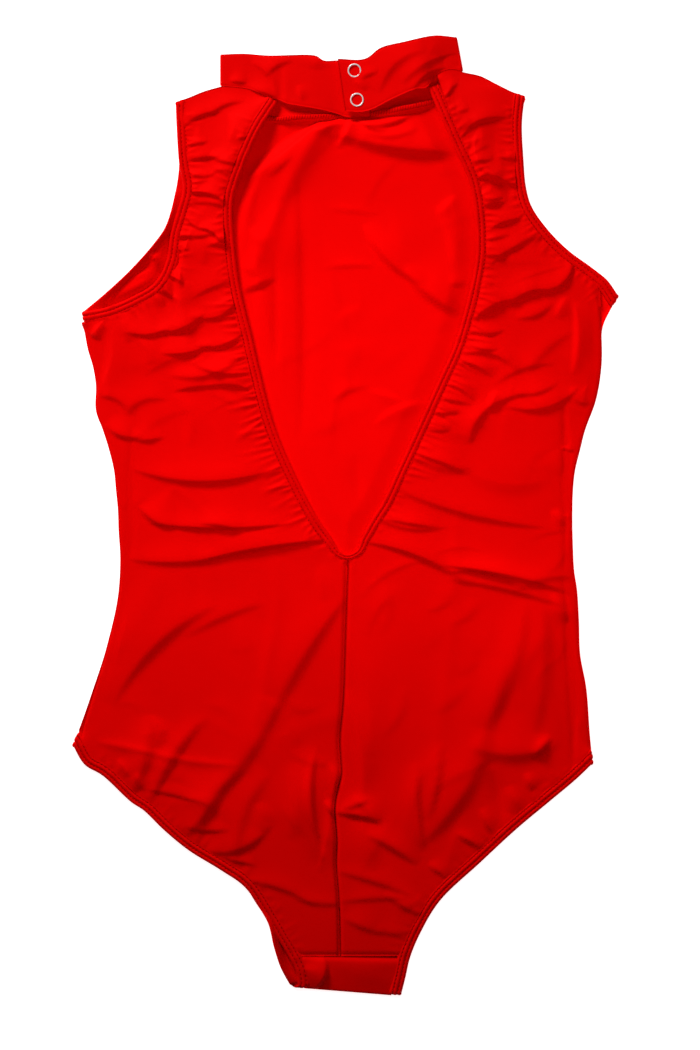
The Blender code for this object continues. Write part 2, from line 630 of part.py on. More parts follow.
def add_front_panel(material):
    """The whole front, flat on the surface but for the folds that show in the keyhole."""
    edges = [
        shifted(smooth_curve(FRONT_NECK, count=COLLAR_STATIONS), -SEAM)[::-1],
        smooth_curve(SHOULDER_LEFT, SEAM_STEP),
        beside_ring("armhole_binding_left", 0),
        smooth_curve(SIDE_LEFT, 2 * SEAM_STEP),
        beside_ring("leg_binding_left", 0),
        smooth_curve(GUSSET_FRONT_SEAM, 2 * SEAM_STEP) + [0, SEAM],
        beside_ring("leg_binding_right", 0)[::-1],
        smooth_curve(SIDE_RIGHT, 2 * SEAM_STEP)[::-1],
        beside_ring("armhole_binding_right", 0)[::-1],
        smooth_curve(SHOULDER_RIGHT, SEAM_STEP)[::-1],
    ]
    window, _ = keyhole_edge()

    def underside(points):
        gap, _, _ = nearest(points, window)
        inside = inside_outline(points, window[:, :2])
        return folded(points, FOLDS_IN_FRONT) * np.clip(gap / 9, 0, 1) * inside

    special = fold_points(FOLDS_IN_FRONT)
    return add_panel("front_panel", outline_of(edges), special, underside, material, FRONT_STEP)


def add_collar(material):
    """The double band of the neck, from the left back end round the front to the right back end over it."""
    share = np.linspace(0, 1, COLLAR_ROWS)[None, :, None]

    def half(low_rows, top_rows):
        low = smooth_curve(low_rows, count=COLLAR_STATIONS)
        top = smooth_curve(top_rows, count=COLLAR_STATIONS)
        grid = low[:, None] * (1 - share) + top[:, None] * share
        flat = grid.reshape(-1, 3)
        fade = np.clip((grid[..., 2].max() - grid[..., 2]) / 0.4, 0, 1)
        grid[..., 2] += folded(flat, FOLDS_IN_COLLAR).reshape(fade.shape) * fade
        return grid

    left = half(COLLAR_LEFT_LOW, COLLAR_LEFT_TOP)
    right = half(COLLAR_RIGHT_LOW, COLLAR_RIGHT_TOP)[::-1]
    low = smooth_curve(FRONT_NECK, count=COLLAR_STATIONS)
    top = smooth_curve(COLLAR_FRONT_TOP, count=COLLAR_STATIONS)
    front = low[:, None] * (1 - share) + top[:, None] * share
    lift = [0, 0, COLLAR_CLOTH]
    lying = np.concatenate([front, np.zeros(front.shape[:2] + (1,))], axis=2)
    fold_top = 2 * COLLAR_CLOTH + SEAM
    turns = [
        turned_over(front[0], left[-1][:, :2], np.array([-1.0, 0]), COLLAR_CLOTH, fold_top),
        turned_over(front[-1], right[0][:, :2], np.array([1.0, 0.1]), COLLAR_CLOTH, fold_top),
    ]
    outer = [*(left + lift), *turns[0][0][::-1], *lying, *turns[1][0], *(right + lift)]
    inner = [*left, *turns[0][1][::-1], *(lying + lift), *turns[1][1], *right]
    return add_sheet("collar", np.array(outer), np.array(inner), False, material)


def add_gusset(material):
    """The crotch piece: from the back seam down, over the bottom fold and up under to the front seam."""
    back_left, front_left = beside_ring("leg_binding_left", 1), beside_ring("leg_binding_left", 0)
    right = beside_ring("leg_binding_right", 0)
    share = np.linspace(0, 1, 7)

    def rows(left, first, last, count):
        """Rows of points between the two leg bands, from the first row's ends to the last one's."""
        found = []
        for t in np.linspace(0, 1, count):
            ends = []
            for k, (edge, ease) in enumerate(((left, GUSSET_EASE), (right, -GUSSET_EASE))):
                reach = stretched(edge, 12)[-8:]
                y = first[k] * (1 - t) + last[k] * t
                ends.append((np.interp(-y, -reach[:, 1], reach[:, 0]) + ease, y))
            found.append(np.array(ends[0]) + np.subtract(ends[1], ends[0]) * share[:, None])
        return found

    upper = rows(back_left, GUSSET_BACK_ROW, GUSSET_FOLD_ROW, 5)
    lower = rows(front_left, GUSSET_FOLD_ROW, GUSSET_FRONT_ROW, 9)
    tuck_across = np.exp(-(((share - GUSSET_TUCK_SHARE) / GUSSET_TUCK_WIDTH) ** 2))
    outer, inner = [], []
    for k, section in enumerate(upper):
        fall = k / (len(upper) - 1)
        low = (ON_BAND + BESIDE_BAND) * (1 - fall) + ON_FRONT * fall
        tuck = GUSSET_TUCK_HEIGHT * tuck_across * math.sin(math.pi * (0.1 + 0.8 * fall))
        inner.append(np.column_stack([section, low + tuck]))
        outer.append(np.column_stack([section, low + tuck + CLOTH]))
    outer[-1][:, 2] = ON_FRONT + CLOTH
    inner[-1][:, 2] = ON_FRONT
    over = turned_over(lower[0], upper[-1], np.array([0, -1.0]), CLOTH, ON_FRONT + CLOTH)
    outer += over[0][::-1]
    inner += over[1][::-1]
    for section in lower:
        outer.append(np.column_stack([section, np.zeros(len(share))]))
        inner.append(np.column_stack([section, np.full(len(share), CLOTH)]))
    return add_sheet("crotch_gusset", np.array(outer), np.array(inner), False, material)


def add_turned(name, profile, x, y, material):
    """A turned metal part from its half profile, which runs down its outer side."""
    mesh = bpy.data.meshes.new(name)
    edges = [(k, k + 1) for k in range(len(profile) - 1)]
    if profile[0][0] > 0:
        edges.append((len(profile) - 1, 0))
    mesh.from_pydata([(r * MM, 0, z * MM) for r, z in profile], edges, [])
    mesh.materials.append(material)
    obj = bpy.data.objects.new(name, mesh)
    obj.location = (x * MM, y * MM, 0)
    screw = obj.modifiers.new("turn", "SCREW")
    screw.steps = screw.render_steps = SNAP_STEPS
    screw.use_merge_vertices = True
    screw.merge_threshold = 0.00005
    screw.use_smooth_shade = True
    pieces.objects.link(obj)
    return obj


def add_snaps(material):
    """Two open-ring snaps: ring over the outer end, socket under it, stud and back ring on the other."""
    outside = SNAP_DIAMETER / 2
    ring_hole = outside - SNAP_RING_WIDTH
    flange = outside - SNAP_FLANGE_INSET
    hole = SOCKET_HOLE / 2
    knob = STUD_KNOB / 2
    over_top = OVER_END + COLLAR_CLOTH + SEAM
    socket_top = OVER_END - SEAM
    socket_low = socket_top - SOCKET_HEIGHT
    stud_low = UNDER_END + COLLAR_CLOTH + SEAM
    stud_flange_top = stud_low + STUD_FLANGE
    stud_top = socket_top - SEAM
    back_ring_top = UNDER_END - SEAM

    def ring(low):
        high = low + SNAP_RING_HEIGHT
        return [
            (outside - SNAP_CHAMFER, high), (outside, high - SNAP_CHAMFER), (outside, low),
            (ring_hole, low), (ring_hole, high - SNAP_CHAMFER), (ring_hole + SNAP_CHAMFER, high),
        ]

    socket = [(flange, socket_top), (flange, socket_low), (hole, socket_low), (hole, socket_top)]
    stud = [
        (0, stud_top), (knob, stud_top), (knob, stud_flange_top),
        (flange, stud_flange_top), (flange, stud_low), (0, stud_low),
    ]
    for name, x, y in SNAPS:
        add_turned(f"snap_ring_{name}", ring(over_top), x, y, material)
        add_turned(f"snap_back_ring_{name}", ring(back_ring_top - SNAP_RING_HEIGHT), x, y, material)
        add_turned(f"snap_socket_{name}", socket, x, y, material)
        add_turned(f"snap_stud_{name}", stud, x, y, material)


def principled(name, color, roughness, metallic):
    """A plain material with the part's colour and finish."""
    material = bpy.data.materials.new(name)
    material.use_nodes = True
    shader = material.node_tree.nodes["Principled BSDF"]
    shader.inputs["Base Color"].default_value = color
    shader.inputs["Roughness"].default_value = roughness
    shader.inputs["Metallic"].default_value = metallic
    return material


for leftover in list(bpy.data.objects):
    bpy.data.objects.remove(leftover)
pieces = bpy.data.collections.new(OBJECT_NAME)
bpy.context.scene.collection.children.link(pieces)

jersey = principled("red_stretch_jersey", RED, 0.6, 0.0)
edging = principled("red_turned_edge", RED, 0.65, 0.0)
metal = principled("snap_metal", SILVER, 0.3, 1.0)

add_front_panel(jersey)
add_back_panel(
    "back_panel_left", 1,
    back_panel_edges(1, "left", BACK_SIDE_LEFT, COLLAR_LEFT_LOW, SHOULDER_LEFT),
    FOLDS_ON_LEFT, GATHERS_KEYHOLE_LEFT, GATHERS_ARMHOLE_LEFT, jersey,
)
add_back_panel(
    "back_panel_right", -1,
    back_panel_edges(-1, "right", BACK_SIDE_RIGHT, COLLAR_RIGHT_LOW, SHOULDER_RIGHT),
    FOLDS_ON_RIGHT, GATHERS_KEYHOLE_RIGHT, GATHERS_ARMHOLE_RIGHT, jersey,
)
add_gusset(jersey)
add_collar(jersey)
add_keyhole_binding(edging)
for ring_name in RINGS:
    add_ring(ring_name, edging)
add_snaps(metal)
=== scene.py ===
"""The looks of a red stretch leotard with a snapped mock neck and a keyhole back, laid flat with its back up.

Lengths are millimetres until a mesh is made. X runs to the right of the laid garment, Y towards its collar,
and z = 0 is the surface that it lies on. Left means the side at -X.
"""

import math

import bpy
import numpy as np
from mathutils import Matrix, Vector


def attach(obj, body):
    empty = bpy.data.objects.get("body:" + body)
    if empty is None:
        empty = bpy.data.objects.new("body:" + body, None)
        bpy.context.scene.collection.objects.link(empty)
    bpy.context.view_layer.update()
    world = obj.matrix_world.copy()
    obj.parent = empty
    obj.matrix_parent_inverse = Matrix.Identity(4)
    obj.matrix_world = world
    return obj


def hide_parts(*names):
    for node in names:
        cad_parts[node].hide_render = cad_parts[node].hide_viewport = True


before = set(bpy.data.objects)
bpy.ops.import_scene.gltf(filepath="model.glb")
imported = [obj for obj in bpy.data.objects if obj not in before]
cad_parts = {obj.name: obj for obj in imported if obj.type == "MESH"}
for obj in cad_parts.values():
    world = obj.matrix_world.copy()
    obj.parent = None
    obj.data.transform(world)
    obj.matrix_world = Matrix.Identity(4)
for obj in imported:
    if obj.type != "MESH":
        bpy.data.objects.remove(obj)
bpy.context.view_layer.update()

# Front panel
# The whole front is one piece of thin stretch jersey, neck to crotch. It lies on the surface with its inside
# up, and its slack shows in the keyhole as a few folds that run from the neck seam towards the armholes.

MM = 0.001
JERSEY = 1.0
JERSEY_RED = (0.84, 0.0003, 0.0003, 1)
JERSEY_INSIDE_RED = (0.98, 0.0003, 0.0003, 1)
HEM_WIDTH = 8.0
TUCKED = 1.2
PULL = 60.0
RELIEF = 1.5
SOFTER = 1.9
SHARPER = 0.8
BEYOND = 0.16
REST = 0.05
FRONT_LOFT = 2.2

# The front has its loft where it shows, and rises to it over these distances from each edge of what shows.
# At the keyhole's upper left it stays flat as far as the pocket line, in the shadow of the hem above it.
RISE_FROM_KEYHOLE = 16.0
RISE_FROM_ARMHOLE = 5.0
RISE_FROM_POCKET = 5.0
RISE_FROM_NECK = 6.0
CRESCENT_WIDTH = 16.0
CRESCENT_FADE = 6.0
KEYHOLE_SPAN = (-28, 306)
POCKET_LINE = (-19.0, 283.0), (-72.0, 244.0)

# Where the front's hems show beside the back's, their edge curls up. Columns: from y, to y, rise.
ARMHOLE_CURL = (149, 236, 5.4)
LEG_CURL = (-340, -276, 6.0)
CURL_NARROWS = 0.45

SHOULDER_LEFT = [(-89, 309), (-101, 305.5), (-112, 301), (-122, 297.5)]
SHOULDER_RIGHT = [(84.5, 319.2), (97, 316.5), (108, 311), (120, 305), (129, 302)]
FRONT_NECK = [
    (-88.5, 309.5), (-71.5, 294), (-54, 286), (-32.5, 286.5), (-9, 287.5), (18.5, 289),
    (39.5, 292.5), (60.5, 297.5), (75.5, 307), (83.5, 320),
]
# The neck edge stands up where it is free, at both sides of the lap, and rolls down over NECK_ROLL.
# Columns: x, rise.
NECK_ROLL = 14.0
NECK_RISE = np.array([
    (-50, 0), (-44, 1.6), (-35, 2.8), (-18, 2.6), (-9, 1.0), (-5, 0),
    (19, 0), (26, 2.6), (38, 4.5), (50, 4.0), (58, 1.8), (64, 0),
])
ARMHOLE_LEFT_FRONT = [
    (-122, 297.5), (-121.2, 278), (-119.6, 254), (-122.5, 232), (-129, 208),
    (-137, 196), (-153.5, 177.5), (-174.5, 158.5), (-189.5, 146.5),
]
ARMHOLE_LEFT_BACK = ARMHOLE_LEFT_FRONT[:3] + [
    (-117, 235), (-121, 219), (-125.5, 204), (-129, 183), (-137, 168), (-152, 158.5), (-171, 150.5),
    (-189.5, 146.5),
]
ARMHOLE_RIGHT = [
    (129, 302), (127, 282), (128, 258), (130, 236), (134, 222.5), (146, 205.5),
    (160.5, 191), (177.5, 178.5), (188.5, 169.5), (196.5, 158),
]
SIDE_LEFT = [
    (-189.5, 146.5), (-189.6, 138), (-188.1, 134), (-185.3, 120), (-181.5, 107), (-179.5, 94),
    (-179.5, 76), (-174.5, 62), (-170.1, 48), (-166.5, 33), (-165.1, 19), (-163.7, 4.5), (-163.2, -10),
    (-162, -31.5), (-164, -60), (-172.3, -96), (-181.7, -125), (-190, -149), (-196, -164.5),
]
SIDE_RIGHT = [
    (196.5, 158), (190, 147), (185, 135), (184.5, 110), (180.5, 84), (172.6, 62), (169, 48), (165.4, 33),
    (163.9, 19), (163.4, -2), (163.9, -24), (164.7, -39), (166.8, -53), (168.2, -76),
    (169, -99), (173.5, -124), (176, -157), (178, -177.5),
]
LEG_LEFT_SHARED = [
    (-196, -164.5), (-187.5, -178.5), (-174.5, -186.5), (-154, -205.5), (-145, -211.5), (-130, -226),
    (-112.5, -240.3), (-89.5, -254.5), (-72, -267),
]
LEG_LEFT_FRONT = LEG_LEFT_SHARED + [(-65.5, -276.5), (-55.5, -292), (-51, -309.5), (-46, -325), (-39, -338.5)]
LEG_LEFT_BACK = LEG_LEFT_SHARED + [(-55.5, -292), (-48.5, -304), (-40.5, -317.5), (-35.5, -328), (-34, -339)]
LEG_RIGHT = [
    (178, -177.5), (166, -189), (147.5, -204.5), (123.5, -224.5), (97, -249), (68, -276.5),
    (54, -299.5), (46.5, -317.5), (43.5, -330.5), (40, -344.5),
]
GUSSET_FRONT_SEAM_Y = (-281.5, -282.5)

# The keyhole's edge, which frames what shows of the front. Columns: x, y, underside of its hem.
KEYHOLE = [
    (-48.5, 297.5, 3.0), (-61.5, 276.5, 7.2), (-74.5, 247, 7.0), (-80.5, 227, 5.4), (-80.5, 204, 3.9),
    (-76, 165.5, 3.6), (-68, 132, 3.3), (-61.5, 104, 3.0), (-50.5, 63.5, 2.7), (-31.5, 20.5, 2.4),
    (-19, -2.5, 2.3), (-10.5, -14.5, 2.3), (-3.5, -25.5, 2.3), (2, -27.5, 2.3), (8.5, -24, 2.3),
    (12, -15, 2.3), (18, -3.5, 2.3), (27, 11, 2.4), (37, 32.5, 2.6), (53, 67, 2.9), (67, 98, 3.2),
    (77.5, 121, 3.5), (84, 141.5, 3.8), (91, 169.5, 4.1), (94, 191, 4.3), (92.5, 222.5, 4.4),
    (88.5, 241.5, 4.8), (77.5, 266, 5.3), (68, 287.5, 5.2), (59.5, 307.5, 3.6),
]

# Creases. Columns: start x, start y, end x, end y, bow to the left, width left of it, width right, height.
CREASES_IN_FRONT = [
    (-17, 284, -70, 243, 2, 9, 2.4, 2.0), (-66, 233, -73, 190, -3, 5, 6, 1.2),
    (-54, 246, -40, 258, 0, 4, 3, 0.8), (-14, 282, -49, 218, -3, 5, 5, 1.9),
    (-49, 218, -73, 172, 2, 5, 5, 1.7), (2, 273, 82, 263, -3, 9, 6, 3.4), (17, 281, 44, 287, -2, 3, 2.2, 1.5),
    (21, 274, 48, 277, -2, 4, 3, 1.0), (-79, 160, -54, 170, 0, 5, 2.2, 1.8),
    (-74, 179, -60, 170, 2, 4, 3, 1.0), (-70, 205, -58, 196, 0, 3, 3, 0.7),
    (-50, 180, -50, 104, 0, 2.2, 2.2, -0.9), (-32, 224, -31, 74, 2, 6, 5, -1.0),
    (-62, 166, -63, 120, 0, 6, 4, 0.7), (59, 81, 25, 69, -3, 4, 2.5, 0.9), (-8, 84, 12, 93, 2, 4, 2.5, 0.6),
    (40, 83, 20, 90, 0, 3, 2, 0.6), (79, 229, 68, 218, 0, 4, 3, 0.9), (68, 218, 77, 183, 4, 6, 4, 0.9),
    (17, 203, 50, 170, -3, 8, 3.4, 2.2), (46, 173, 80, 147, -2, 8, 3.6, 2.6),
    (76, 167, 88, 168, 0, 4, 2, 1.1), (-11, 179, 18, 180, 1, 3, 2, 0.5), (-9, 221, 20, 218, 0, 3, 2, 0.4),
    (-2, 288, -22, 277, 2, 3, 2.5, 1.5), (4, 289, -4, 268, 2, 3, 2.5, 1.2),
    (9, 287, 27, 277, -2, 3, 2.2, 1.3), (-33, 224, -45, 183, 4, 8, 8, 0.8), (-54, 156, -60, 69, 3, 6, 6, 0.6),
    (8, 40, 9, 8, 0, 4, 4, -0.6), (-168, 163, -146, 174, 3, 4, 3, 1.6), (-150, 180, -136, 186, 2, 3, 2, 1.5),
    (-156, 160, -140, 170, -3, 4, 2, 1.1), (-143, 188, -134, 178, 1, 2.5, 2, 1.3),
    (-136, 200, -130, 190, 1, 2.5, 2, 1.1),
]


def distances(points):
    """The distance along a polyline to each of its points: the running sum of the lengths of its sides."""
    return np.concatenate([[0], np.cumsum(np.linalg.norm(np.diff(points, axis=0), axis=1))])


def resampled(curve, step=None, count=None, shares=None):
    """Points on a polyline at even distances in plan, or at given shares of its length."""
    curve = np.asarray(curve, float)
    along = distances(curve[:, :2])
    if shares is None:
        shares = np.linspace(0, 1, count or max(2, round(along[-1] / step) + 1))
    return np.column_stack([np.interp(shares * along[-1], along, column) for column in curve.T])


def smooth(rows, step=1.0, count=None):
    """A centripetal Catmull-Rom curve through every row: a span blends the lines between its four points."""
    rows = np.array(rows, float)
    ends = np.vstack([2 * rows[0] - rows[1], rows, 2 * rows[-1] - rows[-2]])
    spans = []
    for p0, p1, p2, p3 in zip(ends, ends[1:], ends[2:], ends[3:]):
        t1 = math.sqrt(np.linalg.norm(p1 - p0))
        t2 = t1 + math.sqrt(np.linalg.norm(p2 - p1))
        t3 = t2 + math.sqrt(np.linalg.norm(p3 - p2))
        t = np.linspace(t1, t2, 17)[:-1, None]
        a1 = p0 * (t1 - t) / t1 + p1 * t / t1
        a2 = p1 * (t2 - t) / (t2 - t1) + p2 * (t - t1) / (t2 - t1)
        a3 = p2 * (t3 - t) / (t3 - t2) + p3 * (t - t2) / (t3 - t2)
        b1 = a1 * (t2 - t) / t2 + a2 * t / t2
        b2 = a2 * (t3 - t) / (t3 - t1) + a3 * (t - t1) / (t3 - t1)
        spans.append(b1 * (t2 - t) / (t2 - t1) + b2 * (t - t1) / (t2 - t1))
    return resampled(np.vstack(spans + [rows[-1:]]), step, count)


def beside(curve, distance):
    """The curve moved sideways in plan, to the left of its travel where distance is above 0."""
    travel = np.gradient(curve[:, :2], axis=0)
    travel /= np.linalg.norm(travel, axis=1)[:, None]
    moved = curve.copy()
    moved[:, 0] -= travel[:, 1] * distance
    moved[:, 1] += travel[:, 0] * distance
    return moved


def x_at(curve):
    """x as a function of y on a curve that falls all the way and runs straight on beyond its ends."""
    first, last = curve[0] - curve[3], curve[-1] - curve[-4]
    long = np.vstack([curve[0] + first * 200, curve, curve[-1] + last * 200])
    falling = np.minimum.accumulate(long[:, 1])
    return lambda y: np.interp(-y, -falling, long[:, 0])


def side_edge(side, *curves):
    """The panel's side edge as x at a height y: the innermost of the curves that it follows in turn."""
    edges = [x_at(curve) for curve in curves]
    innermost = np.maximum if side > 0 else np.minimum
    return lambda y: innermost.reduce([edge(y) for edge in edges])


def level_edge(left_x, right_x, y):
    """A straight edge from one side edge to the other, at the height y of each."""
    return np.array([(left_x(y[0]), y[0]), (right_x(y[1]), y[1])])


def patch(left_x, right_x, top, bottom, rows, columns):
    """A panel's plan: straight rows between its side edges, bent near its ends to its top and bottom edge.

    The bend is the gap between the end edge and a straight row, times (1 - distance / PULL) squared.
    """
    level = [top[k, 1] + (bottom[k, 1] - top[k, 1]) * rows for k in (0, -1)]
    left = np.stack([left_x(level[0]), level[0]], axis=1)
    right = np.stack([right_x(level[1]), level[1]], axis=1)
    plan = left[:, None] * (1 - columns[:, None]) + right[:, None] * columns[:, None]
    for edge, row in ((top, 0), (bottom, -1)):
        bend = resampled(edge, shares=columns) - plan[row]
        reach = np.clip(1 - abs(level[0] - level[0][row]) / PULL, 0, 1) ** 2
        plan = plan + bend * reach[:, None, None]
    return plan


def denser_at_ends(count, share):
    """Places from 0 to 1, spaced (1 - share) of evenly at both ends: t - share sin(2 pi t) / 2 pi."""
    t = np.linspace(0, 1, count)
    return t - share * np.sin(2 * math.pi * t) / (2 * math.pi)


def from_curve(points, curve):
    """For each plan point: its distance along the curve, its distance left of it, and its share of the way.

    The foot is the nearest sample, moved along the curve's own direction there.
    """
    fine = resampled(curve, step=1.5)
    travel = np.gradient(fine[:, :2], axis=0)
    travel /= np.linalg.norm(travel, axis=1)[:, None]
    along, left = np.empty(len(points)), np.empty(len(points))
    total = distances(fine[:, :2])[-1]
    spacing = total / (len(fine) - 1)
    for part in np.array_split(np.arange(len(points)), len(points) // 4000 + 1):
        here = points[part, :2]
        index = ((here[:, None] - fine[None, :, :2]) ** 2).sum(axis=2).argmin(axis=1)
        gap, way = here - fine[index, :2], travel[index]
        along[part] = index * spacing + (gap * way).sum(axis=1)
        left[part] = way[:, 0] * gap[:, 1] - way[:, 1] * gap[:, 0]
    return along, left, along / total


def creased(points, rows):
    """Height of the listed creases, summed over the rows.

    Each runs along a bowed line, a little beyond its ends, and its height follows sin(pi t) along it. Across,
    its wider side fades slowly as (1 + (side / width)^2)^-1.5 - 0.02 and its narrower one drops fast as
    exp(-(side / width)^2), so that most are tucks: a soft swell with one sharp side.
    """
    height = np.zeros(len(points))
    t = np.linspace(-BEYOND, 1 + BEYOND, 29)
    for x0, y0, x1, y1, bow, wide_left, wide_right, high in rows:
        length = math.hypot(x1 - x0, y1 - y0)
        bulge = 4 * bow * t * (1 - t) / length
        line = np.column_stack([
            x0 + (x1 - x0) * t - (y1 - y0) * bulge, y0 + (y1 - y0) * t + (x1 - x0) * bulge,
        ])
        widest = max(wide_left, wide_right)
        reach = 3.2 * SOFTER * widest + 2
        near = (points[:, :2] > line.min(axis=0) - reach) & (points[:, :2] < line.max(axis=0) + reach)
        near = near.all(axis=1)
        _, left, share = from_curve(points[near], line)
        taper = np.sin(math.pi * np.clip(share, 0, 1))
        width = np.where(left > 0, wide_left, wide_right) * (0.5 + 0.5 * taper)
        soft = width > 0.99 * widest * (0.5 + 0.5 * taper)
        fade = (left / (width * np.where(soft, SOFTER, SHARPER))) ** 2
        height[near] += RELIEF * high * taper * np.where(soft, (1 + fade) ** -1.5 - 0.02, np.exp(-fade))
    return height


def rippled(points, seed, count, box, high, turn=0.0):
    """Small slack: count low creases at random places in a box (x0, x1, y0, y1), most of them along turn."""
    random = np.random.default_rng(seed)
    x, y = random.uniform(*box[:2], count), random.uniform(*box[2:], count)
    angle = turn + random.normal(0, 0.5, count)
    length, wide = random.uniform(14, 46, count), random.uniform(2.5, 8, count)
    rows = [
        (a, b, a + c * math.cos(d), b + c * math.sin(d), bow, w, w * lean, high * h)
        for a, b, c, d, w, bow, lean, h in zip(
            x, y, length, angle, wide,
            random.normal(0, 3, count), random.uniform(0.5, 1.1, count), random.uniform(0.3, 1, count),
        )
    ]
    return creased(points, rows)


def new_mesh(name, points, faces, material, along=None):
    """A mesh object from millimetres, its faces turned so that its volume is above 0, with UVs in metres."""
    points = np.asarray(points, float).reshape(-1, 3) * MM
    faces = np.asarray(faces)
    a, b, c = (points[faces[:, k]] for k in (0, 1, 2))
    volume = (a * np.cross(b, c)).sum()
    if faces.shape[1] == 4:
        volume += (a * np.cross(c, points[faces[:, 3]])).sum()
    if volume < 0:
        faces = faces[:, ::-1]
    mesh = bpy.data.meshes.new(name)
    mesh.from_pydata(points.tolist(), [], faces.tolist())
    if along is not None:
        layer = mesh.uv_layers.new(name="cloth")
        layer.data.foreach_set("uv", (np.asarray(along).reshape(-1, 2)[faces.ravel()] * MM).ravel())
    mesh.shade_smooth()
    mesh.materials.append(material)
    obj = bpy.data.objects.new(name, mesh)
    bpy.context.scene.collection.objects.link(obj)
    return obj


def grid_faces(length, width, start=0, round_length=False, round_width=False):
    """The squares of a grid of points, closed on itself lengthways or across where asked."""
    i = np.arange(length if round_length else length - 1)[:, None]
    j = np.arange(width if round_width else width - 1)[None]
    up, over = (i + 1) % length, (j + 1) % width
    corners = [i * width + j, up * width + j, up * width + over, i * width + over]
    return start + np.stack(corners, axis=2).reshape(-1, 4)


def lifted(plan, height):
    """A plan grid with heights as its third column."""
    return np.concatenate([plan, height[..., None]], axis=2)


def shell_between(name, outer, inner, material):
    """A closed shell: two grids of points, one behind the other, and a rim of squares round both."""
    length, width, _ = outer.shape
    half = length * width
    number = np.arange(half).reshape(length, width)
    rim = np.concatenate([number[0], number[1:, -1], number[-1, -2::-1], number[-2:0:-1, 0]])
    rim = np.stack([rim, np.roll(rim, -1), np.roll(rim, -1) + half, rim + half], axis=1)
    faces = np.vstack([grid_faces(length, width), grid_faces(length, width, half)[:, ::-1], rim[:, ::-1]])
    return new_mesh(name, np.vstack([outer.reshape(-1, 3), inner.reshape(-1, 3)]), faces, material)


def cloth_panel(name, plan, low, material):
    """A closed thin shell over a plan grid, its underside at height low and its top JERSEY above that."""
    return shell_between(name, lifted(plan, low + JERSEY), lifted(plan, low), material)


def neck_rise(x):
    """How far the free neck edge stands up at x, by straight steps between the rows of NECK_RISE."""
    return np.interp(x, *NECK_RISE.T)


def curl_share(y, curl):
    """How far a hem has curled up at height y: from 0 at both ends of its stretch to 1 in the middle."""
    return np.sin(math.pi * np.clip((y - curl[0]) / (curl[1] - curl[0]), 0, 1)) ** 0.7


def inside_hem(rows, curl):
    """The cloth's own edge under a hem at the left of its travel, nearer the hem's edge where that curls."""
    curve = smooth(rows)
    width = HEM_WIDTH - TUCKED
    return beside(curve, width * (1 - CURL_NARROWS * curl_share(curve[:, 1], curl)))


def knit_group():
    """Node group: the fine wales and courses of a knit. Puts out a height, a slow tone and a fast mottle."""
    tree = bpy.data.node_groups.new("jersey_knit", "ShaderNodeTree")
    for socket, low in (("Wales", 900.0), ("Courses", 700.0)):
        tree.interface.new_socket(socket, in_out="INPUT", socket_type="NodeSocketFloat").default_value = low
    tree.interface.new_socket("Place", in_out="INPUT", socket_type="NodeSocketVector")
    for socket in ("Height", "Tone", "Mottle"):
        tree.interface.new_socket(socket, in_out="OUTPUT", socket_type="NodeSocketFloat")
    nodes, links = tree.nodes, tree.links
    given, out = nodes.new("NodeGroupInput"), nodes.new("NodeGroupOutput")
    waves = []
    for direction, socket in (("X", "Wales"), ("Y", "Courses")):
        wave = nodes.new("ShaderNodeTexWave")
        wave.bands_direction = direction
        wave.inputs["Distortion"].default_value = 0.6
        wave.inputs["Detail"].default_value = 1.0
        links.new(given.outputs["Place"], wave.inputs["Vector"])
        links.new(given.outputs[socket], wave.inputs["Scale"])
        waves.append(wave)
    height = nodes.new("ShaderNodeMath")
    height.operation = "MULTIPLY"
    for wave, socket in zip(waves, height.inputs):
        links.new(wave.outputs["Fac"], socket)
    links.new(height.outputs[0], out.inputs["Height"])
    for scale, detail, socket in ((9.0, 3.0, "Tone"), (240.0, 2.0, "Mottle")):
        noise = nodes.new("ShaderNodeTexNoise")
        noise.inputs["Scale"].default_value = scale
        noise.inputs["Detail"].default_value = detail
        links.new(given.outputs["Place"], noise.inputs["Vector"])
        links.new(noise.outputs["Fac"], out.inputs[socket])
    return tree


